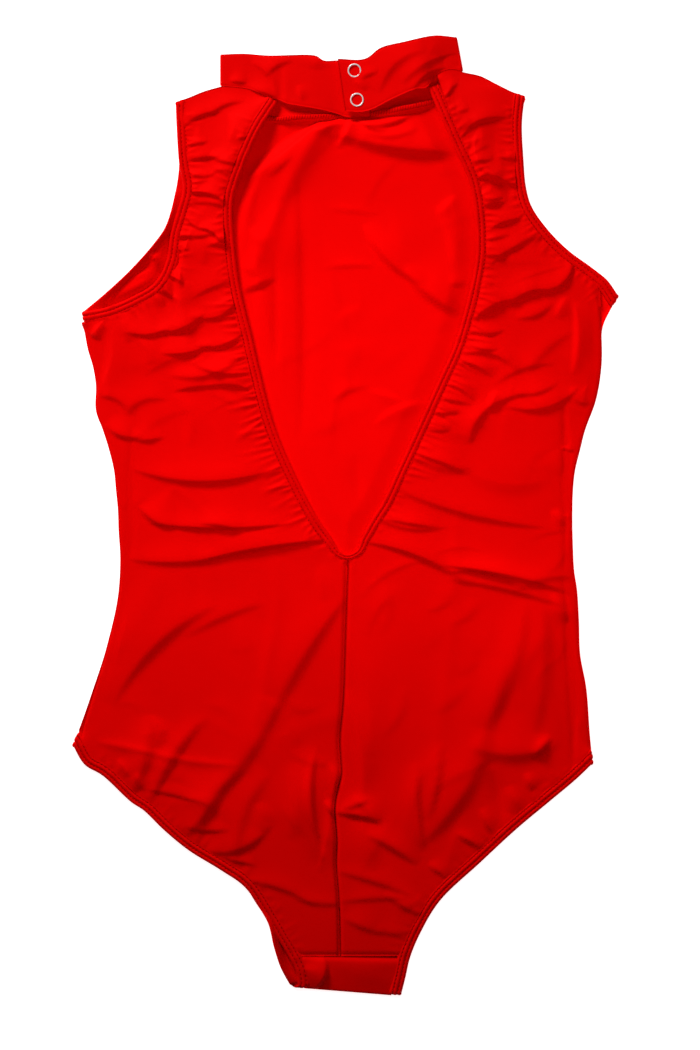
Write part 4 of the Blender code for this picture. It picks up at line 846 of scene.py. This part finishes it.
def stitches(name, edge, inner, normal):
    """Two rows of thread stitches on a hem, the second half a stitch on: each a low arch sunk at both ends.

    The arch is 0.62 + 0.2 (1 - (2 t)^2) high above the hem's middle, less 0.35 at its two ends.
    """
    t = np.linspace(-0.5, 0.5, 5)
    arch = 0.62 + 0.2 * (1 - (2 * t) ** 2) - 0.35 * (abs(t) > 0.45)
    along = distances(edge)
    places = np.arange(STITCH_PITCH, along[-1] - STITCH_PITCH, STITCH_PITCH)
    at = np.concatenate([places, places + STITCH_PITCH / 2])[:, None] + t * STITCH_LENGTH
    row = np.repeat(STITCH_ROWS, len(places))[:, None, None]

    def along_edge(values):
        return np.stack([np.interp(at, along, column) for column in values.T], axis=2)

    across, up = along_edge(inner - edge) / HEM_WIDTH, along_edge(normal)
    centre = along_edge(edge) + across * row + up * arch[None, :, None]
    sideways = across / np.linalg.norm(across, axis=2, keepdims=True)
    return threads(name, centre, sideways, up, STITCH_HALF_WIDTH, STITCH_HALF_HEIGHT)


def lay_hem(name, node, edge, inner, normal, closed, seed):
    """A hem and its stitches in place of its solid."""
    hem = sweep(name, edge, inner, normal, closed, seed)
    rows = stitches(name + "_stitches", edge, inner, normal)
    for piece in (hem, rows):
        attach(piece, "root")
    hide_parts(node)


keyhole_path = hem_inner + HEM_MIDDLE, hem_outer + HEM_MIDDLE, np.tile([0.0, 0, 1], (len(hem_inner), 1))
lay_hem("keyhole_hem", "keyhole_binding", *keyhole_path, False, 31)

# Columns: the front's edge, the back's edge, side, direction of the fold at the start and at the end, curl.
NO_CURL = (0, 1, 0)
RINGS = {
    "armhole_left": (ARMHOLE_LEFT_FRONT, ARMHOLE_LEFT_BACK, 1, (10, 3.6), (3, -14.5), ARMHOLE_CURL),
    "armhole_right": (ARMHOLE_RIGHT, ARMHOLE_RIGHT, -1, (-9, 3), (-6.5, -11), NO_CURL),
    "leg_left": (LEG_LEFT_FRONT, LEG_LEFT_BACK, 1, (6, 15.5), (1, -0.07), LEG_CURL),
    "leg_right": (LEG_RIGHT, LEG_RIGHT, -1, (-2, 20.5), (-1, 0.07), NO_CURL),
}


def ring_path(front_rows, back_rows, side, start, end, curl):
    """A closed hem's edge, inner line and outward normal: along the front, over a fold, back, and over again.

    Over a fold the section turns half round a circle of TURN_RADIUS while its place goes from layer to layer.
    """
    front, back = hem_halves(front_rows, side, start, end), hem_halves(back_rows, side, start, end)
    low, high = LAYER_GAP - TURN_RADIUS, LAYER_GAP + TURN_RADIUS
    edge, inner, normal = [], [], []

    def add(line_edge, line_inner, height, way):
        edge.append(np.column_stack([line_edge, height]))
        inner.append(np.column_stack([line_inner, height]))
        normal.append(way)

    def over(index, direction, angles):
        across = np.array([direction[1], -direction[0]], float) / math.hypot(*direction)
        ahead = front[0][index, :2] - front[0][-2 if index else 1, :2]
        across = across if across @ ahead > 0 else -across
        share = ((angles + math.pi / 2) / math.pi)[:, None]
        out = across * np.cos(angles)[:, None]
        places = [
            below[index, :2] * (1 - share) + above[index, :2] * share + out * TURN_RADIUS
            for below, above in zip(front, back)
        ]
        add(*places, LAYER_GAP + TURN_RADIUS * np.sin(angles), np.column_stack([out, np.sin(angles)]))

    turn = np.linspace(-math.pi / 2, math.pi / 2, 9)[1:-1]
    curled = curl_share(front[0][:, 1], curl)[:, None]
    rise = curl[2] * curled
    inward = (front[1][:, :2] - front[0][:, :2]) * (1 - CURL_NARROWS * curled)
    down = -np.hstack([inward * rise / (inward ** 2).sum(axis=1)[:, None], np.ones_like(rise)])
    down /= np.linalg.norm(down, axis=1)[:, None]
    edge.append(np.hstack([front[0][:, :2], low + rise]))
    inner.append(np.hstack([front[0][:, :2] + inward, np.full_like(rise, low)]))
    normal.append(down)
    over(-1, end, turn)
    straight_up = np.tile([0.0, 0, 1], (len(back[0]), 1))
    add(back[0][::-1, :2], back[1][::-1, :2], np.full(len(back[0]), high), straight_up)
    over(0, start, turn[::-1])
    return np.vstack(edge), np.vstack(inner), np.vstack(normal)


for number, (name, row) in enumerate(RINGS.items()):
    where = name.split("_")
    node = f"{where[0]}_binding_{where[1]}"
    path = ring_path(*row)
    lay_hem(name + "_hem", node, *path, True, 40 + number)

# Crotch piece
# One piece of jersey folds round the crotch. Its back seam lies level with the end of the centre seam, a tuck
# has formed at the left of the fold, and its front seam is underneath.

GUSSET_BACK_ROW = (-316.0, -317.0)
GUSSET_FOLD_ROW = (-338.5, -343.5)
GUSSET_DEPTH = 23
GUSSET_CREASES = [
    (-15.5, -317, -21, -339, 4, 1.3, 6, 2.0), (-27, -323, -24, -336, 1, 3, 3, 0.6),
    (-4, -324, 36, -321, -1, 5, 5, 0.4), (6, -331, 32, -335, 2, 5, 5, 0.3),
]


def gusset_rows(left, right, first, last, count):
    """Plan rows between the two leg hems, from one pair of heights to another."""
    t = np.linspace(0, 1, count)
    ends = []
    for k, (edge, ease) in enumerate(((left, -TUCKED), (right, TUCKED))):
        way = edge[-1] - edge[-6]
        reach = np.vstack([edge, edge[-1] + way * 4])
        y = first[k] * (1 - t) + last[k] * t
        ends.append(np.column_stack([np.interp(-y, -reach[:, 1], reach[:, 0]) + ease, y]))
    share = np.linspace(0, 1, 56)[None, :, None]
    return ends[0][:, None] * (1 - share) + ends[1][:, None] * share


def turned(lower, upper, outward, middle, radius, count):
    """Rows of cloth over a fold, from the lower layer's row to the upper's, half round an outward circle.

    At an angle from straight down the row lies a share angle / 180 of the way from one to the other.
    """
    angles = np.linspace(-math.pi / 2, math.pi / 2, count + 2)[1:-1][:, None]
    share = ((angles + math.pi / 2) / math.pi)[..., None]
    plan = lower[None, :, :2] * (1 - share) + upper[None, :, :2] * share
    plan = plan + np.array(outward) * (radius * np.cos(angles))[..., None]
    return lifted(plan, middle + radius * np.sin(angles) * np.ones((1, len(lower))))


leg_back_left = beside(smooth(LEG_LEFT_BACK), HEM_WIDTH)[:, :2]
leg_front_left = beside(inside_hem(LEG_LEFT_FRONT, LEG_CURL), TUCKED)[:, :2]
leg_right = beside(smooth(LEG_RIGHT), -HEM_WIDTH)[:, :2]
upper_plan = gusset_rows(leg_back_left, leg_right, GUSSET_BACK_ROW, GUSSET_FOLD_ROW, 22)
lower_plan = gusset_rows(leg_front_left, leg_right, GUSSET_FOLD_ROW, GUSSET_FRONT_SEAM_Y, 26)
fall = np.linspace(0, 1, len(upper_plan))[:, None]
upper_low = (ON_HEM + CLEARANCE) * (1 - fall ** 2) + ON_FRONT * fall ** 2
upper_low = upper_low + creased(upper_plan.reshape(-1, 2), GUSSET_CREASES).reshape(upper_plan.shape[:2])
upper_low = upper_low - GUSSET_DIP * np.exp(-((fall * GUSSET_DEPTH / GUSSET_DIP_WIDTH) ** 2))
fold_height = (ON_FRONT + JERSEY) / 2
outer_fold, inner_fold = (
    turned(lower_plan[0], upper_plan[-1], (0, -1), fold_height + REST, radius, 5)[::-1]
    for radius in (fold_height, fold_height - JERSEY + 0.2)
)
lying = np.full(lower_plan.shape[:2], REST)
outer_gusset = np.concatenate([lifted(upper_plan, upper_low + JERSEY), outer_fold, lifted(lower_plan, lying)])
inner_gusset = np.concatenate([lifted(upper_plan, upper_low), inner_fold, lifted(lower_plan, lying + JERSEY)])
gusset = shell_between("crotch_cloth", outer_gusset, inner_gusset, jersey)
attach(gusset, "root")
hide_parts("crotch_gusset")

# Collar
# A double band of jersey, folded along its top edge and sewn into the neck. Its right back end laps over the
# left one and is held by the snaps, and between there and the shoulder it stands clear of the keyhole.

COLLAR_CLOTH = 1.5
COLLAR_LEFT_TOP = [
    (17.5, 327, 2.7), (-6, 327.5, 2.7), (-15.5, 327.5, 2.7), (-21.5, 331, 2.6),
    (-55, 331, 2.1), (-72.5, 332.5, 1.9), (-88.5, 332, 1.7),
]
COLLAR_RIGHT_TOP = [
    (-5.5, 328, 7.0), (14, 328, 7.0), (25.5, 336, 6.4), (42.5, 340.5, 4.9), (61, 345, 3.0),
    (67.5, 345.5, 2.3), (79, 344.5, 1.7),
]
COLLAR_FRONT_TOP = [
    (-88.5, 332), (-55, 329), (-15, 326), (15, 326), (42, 338), (67, 343.5), (79, 344.5),
]
CREASES_IN_COLLAR = [
    (-82, 313, -72, 312, 0, 3, 1.8, 0.8), (-68, 306, -46, 298, 2, 5, 2, 1.4),
    (-56, 318, -41, 327, 2, 5, 3, 0.9), (-21, 322, -20, 331, 0, 4, 4, 0.5),
    (-34, 308, -31, 299, 0, 2.5, 2, 0.6), (-64, 325, -50, 306, 3, 7, 3, 1.0),
    (12, 314, 22, 318, 1, 3, 2, 0.7), (7, 311, 13, 306, 1, 3, 2, 0.5), (25, 309, 52, 334, 5, 9, 5, 1.1),
    (44, 315, 76, 333, 3, 9, 5, 1.5), (50, 309, 68, 322, 2, 5, 2.5, 1.2), (64, 332, 82, 324, 0, 7, 6, -0.9),
]
COLLAR_STATIONS = 92
COLLAR_ROWS = 34
COLLAR_INNER_TURN = 0.2
DEEPEST_CREASE = -0.6
FALL_REACH = 7.5


def collar_lines(low_rows, top_rows):
    """Straight lines from the neck seam to the top fold, evenly spaced along both."""
    low, top = smooth(low_rows, count=COLLAR_STATIONS), smooth(top_rows, count=COLLAR_STATIONS)
    share = np.linspace(0, 1, COLLAR_ROWS)[None, :, None]
    return low[:, None] * (1 - share) + top[:, None] * share


def collar_half(low_rows, top_rows):
    """The underside of one back half of the collar: its lines with their creases."""
    grid = collar_lines(low_rows, top_rows)
    crease = creased(grid.reshape(-1, 3), CREASES_IN_COLLAR).reshape(grid.shape[:2])
    grid[..., 2] += np.clip(crease, DEEPEST_CREASE, None)
    return grid


def collar_front_layer():
    """The front layer, under both halves. It falls from the raised neck edge: (1 - distance / reach)^1.2."""
    plan = collar_lines(FRONT_NECK, COLLAR_FRONT_TOP)
    from_seam = np.linalg.norm(plan - plan[:, :1], axis=2)
    fall = np.clip(1 - from_seam / FALL_REACH, 0, 1) ** 1.2
    return lifted(plan, REST + neck_rise(plan[:, :1, 0]) * fall)


def collar_fold(front_row, back_row, outward):
    """The outer and inner wall over a side fold, from the front layer to the back one."""
    middle = (REST + back_row[:, 2].mean() + COLLAR_CLOTH) / 2
    radii = middle - REST, COLLAR_INNER_TURN
    return [turned(front_row, back_row, outward, middle, radius, 7) for radius in radii]


collar_left = collar_half(COLLAR_LEFT_LOW, COLLAR_LEFT_TOP)
collar_right = collar_half(COLLAR_RIGHT_LOW, COLLAR_RIGHT_TOP)[::-1]
collar_front = collar_front_layer()
left_fold = collar_fold(collar_front[0], collar_left[-1], (-1.0, 0))
right_fold = collar_fold(collar_front[-1], collar_right[0], (1.0, 0.1))
lift = [0, 0, COLLAR_CLOTH]
outer_collar = np.concatenate([
    collar_left + lift, left_fold[0][::-1], collar_front, right_fold[0], collar_right + lift,
])
inner_collar = np.concatenate([
    collar_left, left_fold[1][::-1], collar_front + lift, right_fold[1], collar_right,
])
# The top fold and the seam edge are rounded: both walls draw together over the last two rows.
for rows, pull in (((0, -1), 0.5), ((1, -2), 0.17)):
    for row in rows:
        middle_line = (outer_collar[:, row] + inner_collar[:, row]) / 2
        outer_collar[:, row] += (middle_line - outer_collar[:, row]) * pull
        inner_collar[:, row] += (middle_line - inner_collar[:, row]) * pull
collar = shell_between("collar_band", outer_collar, inner_collar, jersey)

# The neck seam is overlocked. It shows in the keyhole at both sides of the lap.
# Columns: name, first x, last x.
NECK_SEAMS = [("left", -63, -4), ("right", 14, 66)]
ROLL_HALF_WIDTH = 1.7
ROLL_HALF_HEIGHT = 0.6
ROLL_MIDDLE = 2.2
LOOP_PITCH = 1.9
LOOP_SPAN = 3.6
LOOP_SLANT = 1.2
LOOP_HALF_THREAD = 0.25


def seam_roll(name, line, sideways):
    """The seam's cut edges: an oval tube along the line, drawn in at both ends."""
    around = np.linspace(0, 2 * math.pi, 12, endpoint=False)
    ends = np.minimum(np.arange(len(line)), np.arange(len(line))[::-1])
    size = np.clip(0.1 + ends / 2.5, 0, 1)[:, None]
    out = ROLL_HALF_WIDTH * np.cos(around) * size
    plan = line[:, None] + sideways[:, None] * out[..., None]
    lift = ROLL_MIDDLE + neck_rise(line[:, 0])[:, None] + ROLL_HALF_HEIGHT * np.sin(around) * size
    grid = lifted(plan, lift)
    return new_mesh(name, grid, grid_faces(len(line), len(around), round_width=True), jersey)


def seam_loops(name, line, sideways):
    """Thread loops laid slantwise over the roll, one every LOOP_PITCH, as high as sqrt(1 - 0.9 (2 t)^2)."""
    t = np.linspace(-0.5, 0.5, 7)
    travel = np.column_stack([sideways[:, 1], -sideways[:, 0]])
    plan = line[:, None] + sideways[:, None] * (LOOP_SPAN * t)[:, None]
    plan = plan + travel[:, None] * (LOOP_SLANT * t)[:, None]
    lift = ROLL_MIDDLE - 0.25 + (ROLL_HALF_HEIGHT + 0.4) * np.sqrt(1 - (2 * t) ** 2 * 0.9)
    lift = lift + neck_rise(line[:, 0])[:, None]
    travel = np.hstack([travel, np.zeros((len(line), 1))])[:, None]
    straight_up = np.array([[[0, 0, 1.0]]])
    return threads(name, lifted(plan, lift), travel, straight_up, LOOP_HALF_THREAD, LOOP_HALF_THREAD)


neck_seam = []
for where, first_x, last_x in NECK_SEAMS:
    line = smooth(FRONT_NECK)
    line = resampled(line[(line[:, 0] > first_x) & (line[:, 0] < last_x)], LOOP_PITCH)
    sideways = beside(line, 1) - line
    neck_seam.append(seam_roll("neck_seam_" + where, line, sideways))
    neck_seam.append(seam_loops("neck_loops_" + where, line, sideways))
for piece in neck_seam:
    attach(piece, "root")
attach(collar, "root")
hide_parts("collar")

# Snaps
# Two open-ring snaps of nickelled steel hold the lapped ends. The prong ring shows on top with cloth inside
# it, its five prongs go through to the socket, and the stud and its back ring are on the end underneath.

# Columns: x, y, tilt of the cloth under the ring, in radians. The ring follows a share of it.
SNAPS = {"upper": (6.6, 319.5, 0.30), "lower": (8.4, 298.5, 0.05)}
TILT_SHARE = 0.3
RING_RADIUS = 4.9
RING_WIDTH = 1.05
RING_HALF_HEIGHT = 0.42
RING_MIDDLE = 8.95
STEEL = (0.93, 0.90, 0.88, 1)


def metal_material():
    """Bright plated steel with faint handling marks in its roughness and tone."""
    material = bpy.data.materials.new("snap_steel")
    material.use_nodes = True
    nodes, links = material.node_tree.nodes, material.node_tree.links
    shader = nodes["Principled BSDF"]
    place, noise = nodes.new("ShaderNodeTexCoord"), nodes.new("ShaderNodeTexNoise")
    noise.inputs["Scale"].default_value = 900.0
    links.new(place.outputs["Object"], noise.inputs["Vector"])
    rough = nodes.new("ShaderNodeMapRange")
    rough.inputs["To Min"].default_value, rough.inputs["To Max"].default_value = 0.22, 0.42
    links.new(noise.outputs["Fac"], rough.inputs["Value"])
    links.new(rough.outputs["Result"], shader.inputs["Roughness"])
    shade = nodes.new("ShaderNodeMix")
    shade.data_type = "RGBA"
    shade.inputs["A"].default_value = [c * 0.88 for c in STEEL[:3]] + [1]
    shade.inputs["B"].default_value = STEEL
    links.new(noise.outputs["Fac"], shade.inputs["Factor"])
    links.new(shade.outputs["Result"], shader.inputs["Base Color"])
    shader.inputs["Metallic"].default_value = 0.35
    return material


def prong_ring(tilt):
    """A ring round the origin: an oval section carried round a circle, raised along y by its tilt."""
    angle = np.linspace(0, 2 * math.pi, 64, endpoint=False)[:, None]
    around = np.linspace(0, 2 * math.pi, 12, endpoint=False)[None]
    radius = RING_RADIUS - RING_WIDTH / 2 + RING_WIDTH / 2 * np.cos(around)
    rise = RING_HALF_HEIGHT * np.sin(around) + radius * np.sin(angle) * math.tan(tilt) * TILT_SHARE
    return np.stack([radius * np.cos(angle), radius * np.sin(angle), rise], axis=2)


steel = metal_material()
for where, (x, y, tilt) in SNAPS.items():
    ring = prong_ring(tilt)
    faces = grid_faces(*ring.shape[:2], round_length=True, round_width=True)
    snap = new_mesh("snap_cap_" + where, ring + [x, y, RING_MIDDLE], faces, steel)
    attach(snap, "root")
    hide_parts("snap_ring_" + where)
for name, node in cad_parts.items():
    if name.startswith("snap_") and not name.startswith("snap_ring"):
        node.data.materials.clear()
        node.data.materials.append(steel)

# Surface, light and camera
# A plain white surface under soft light from beyond the collar, seen straight from above.

FLOOR_SIZE = 6.0
FLOOR_LEVEL = -0.0002
CAMERA_PLACE = (0.00338, -0.00634)
CAMERA_HEIGHT = 2.0
LENS = 95.24

floor_mesh = bpy.data.meshes.new("surface")
corners = [(x * FLOOR_SIZE, y * FLOOR_SIZE, FLOOR_LEVEL) for x, y in ((-1, -1), (1, -1), (1, 1), (-1, 1))]
floor_mesh.from_pydata(corners, [], [(0, 1, 2, 3)])
floor = bpy.data.objects.new("surface", floor_mesh)
bpy.context.scene.collection.objects.link(floor)
paper = bpy.data.materials.new("white_surface")
paper.use_nodes = True
paper_shader = paper.node_tree.nodes["Principled BSDF"]
paper_shader.inputs["Base Color"].default_value = (0.9, 0.9, 0.9, 1)
paper_shader.inputs["Roughness"].default_value = 0.9
paper_shader.inputs["Specular IOR Level"].default_value = 0.1
paper_shader.inputs["Emission Color"].default_value = (1, 1, 1, 1)
paper_shader.inputs["Emission Strength"].default_value = 0.9
floor_mesh.materials.append(paper)


def area_light(name, place, target, size, power):
    """A soft oblong light at a place, aimed at a target, both in metres."""
    lamp = bpy.data.lights.new(name, "AREA")
    lamp.shape = "RECTANGLE"
    lamp.size, lamp.size_y = size
    lamp.energy = power
    obj = bpy.data.objects.new(name, lamp)
    obj.location = place
    obj.rotation_euler = (Vector(target) - Vector(place)).to_track_quat("-Z", "Y").to_euler()
    bpy.context.scene.collection.objects.link(obj)


area_light("window", (-0.85, 1.6, 0.72), (0, 0, 0), (0.60, 0.40), 38.0)
area_light("ceiling", (0.04, 0.05, 0.38), (0.04, 0.0501, 0), (0.6, 0.26), 1.06)

world = bpy.data.worlds.new("room")
world.use_nodes = True
world.node_tree.nodes["Background"].inputs["Color"].default_value = (1, 1, 1, 1)
world.node_tree.nodes["Background"].inputs["Strength"].default_value = 0.05
bpy.context.scene.world = world
bpy.context.scene.view_settings.view_transform = "Standard"

camera_data = bpy.data.cameras.new("camera")
camera_data.lens = LENS
camera = bpy.data.objects.new("camera", camera_data)
camera.location = (*CAMERA_PLACE, CAMERA_HEIGHT)
bpy.context.scene.collection.objects.link(camera)
bpy.context.scene.camera = camera
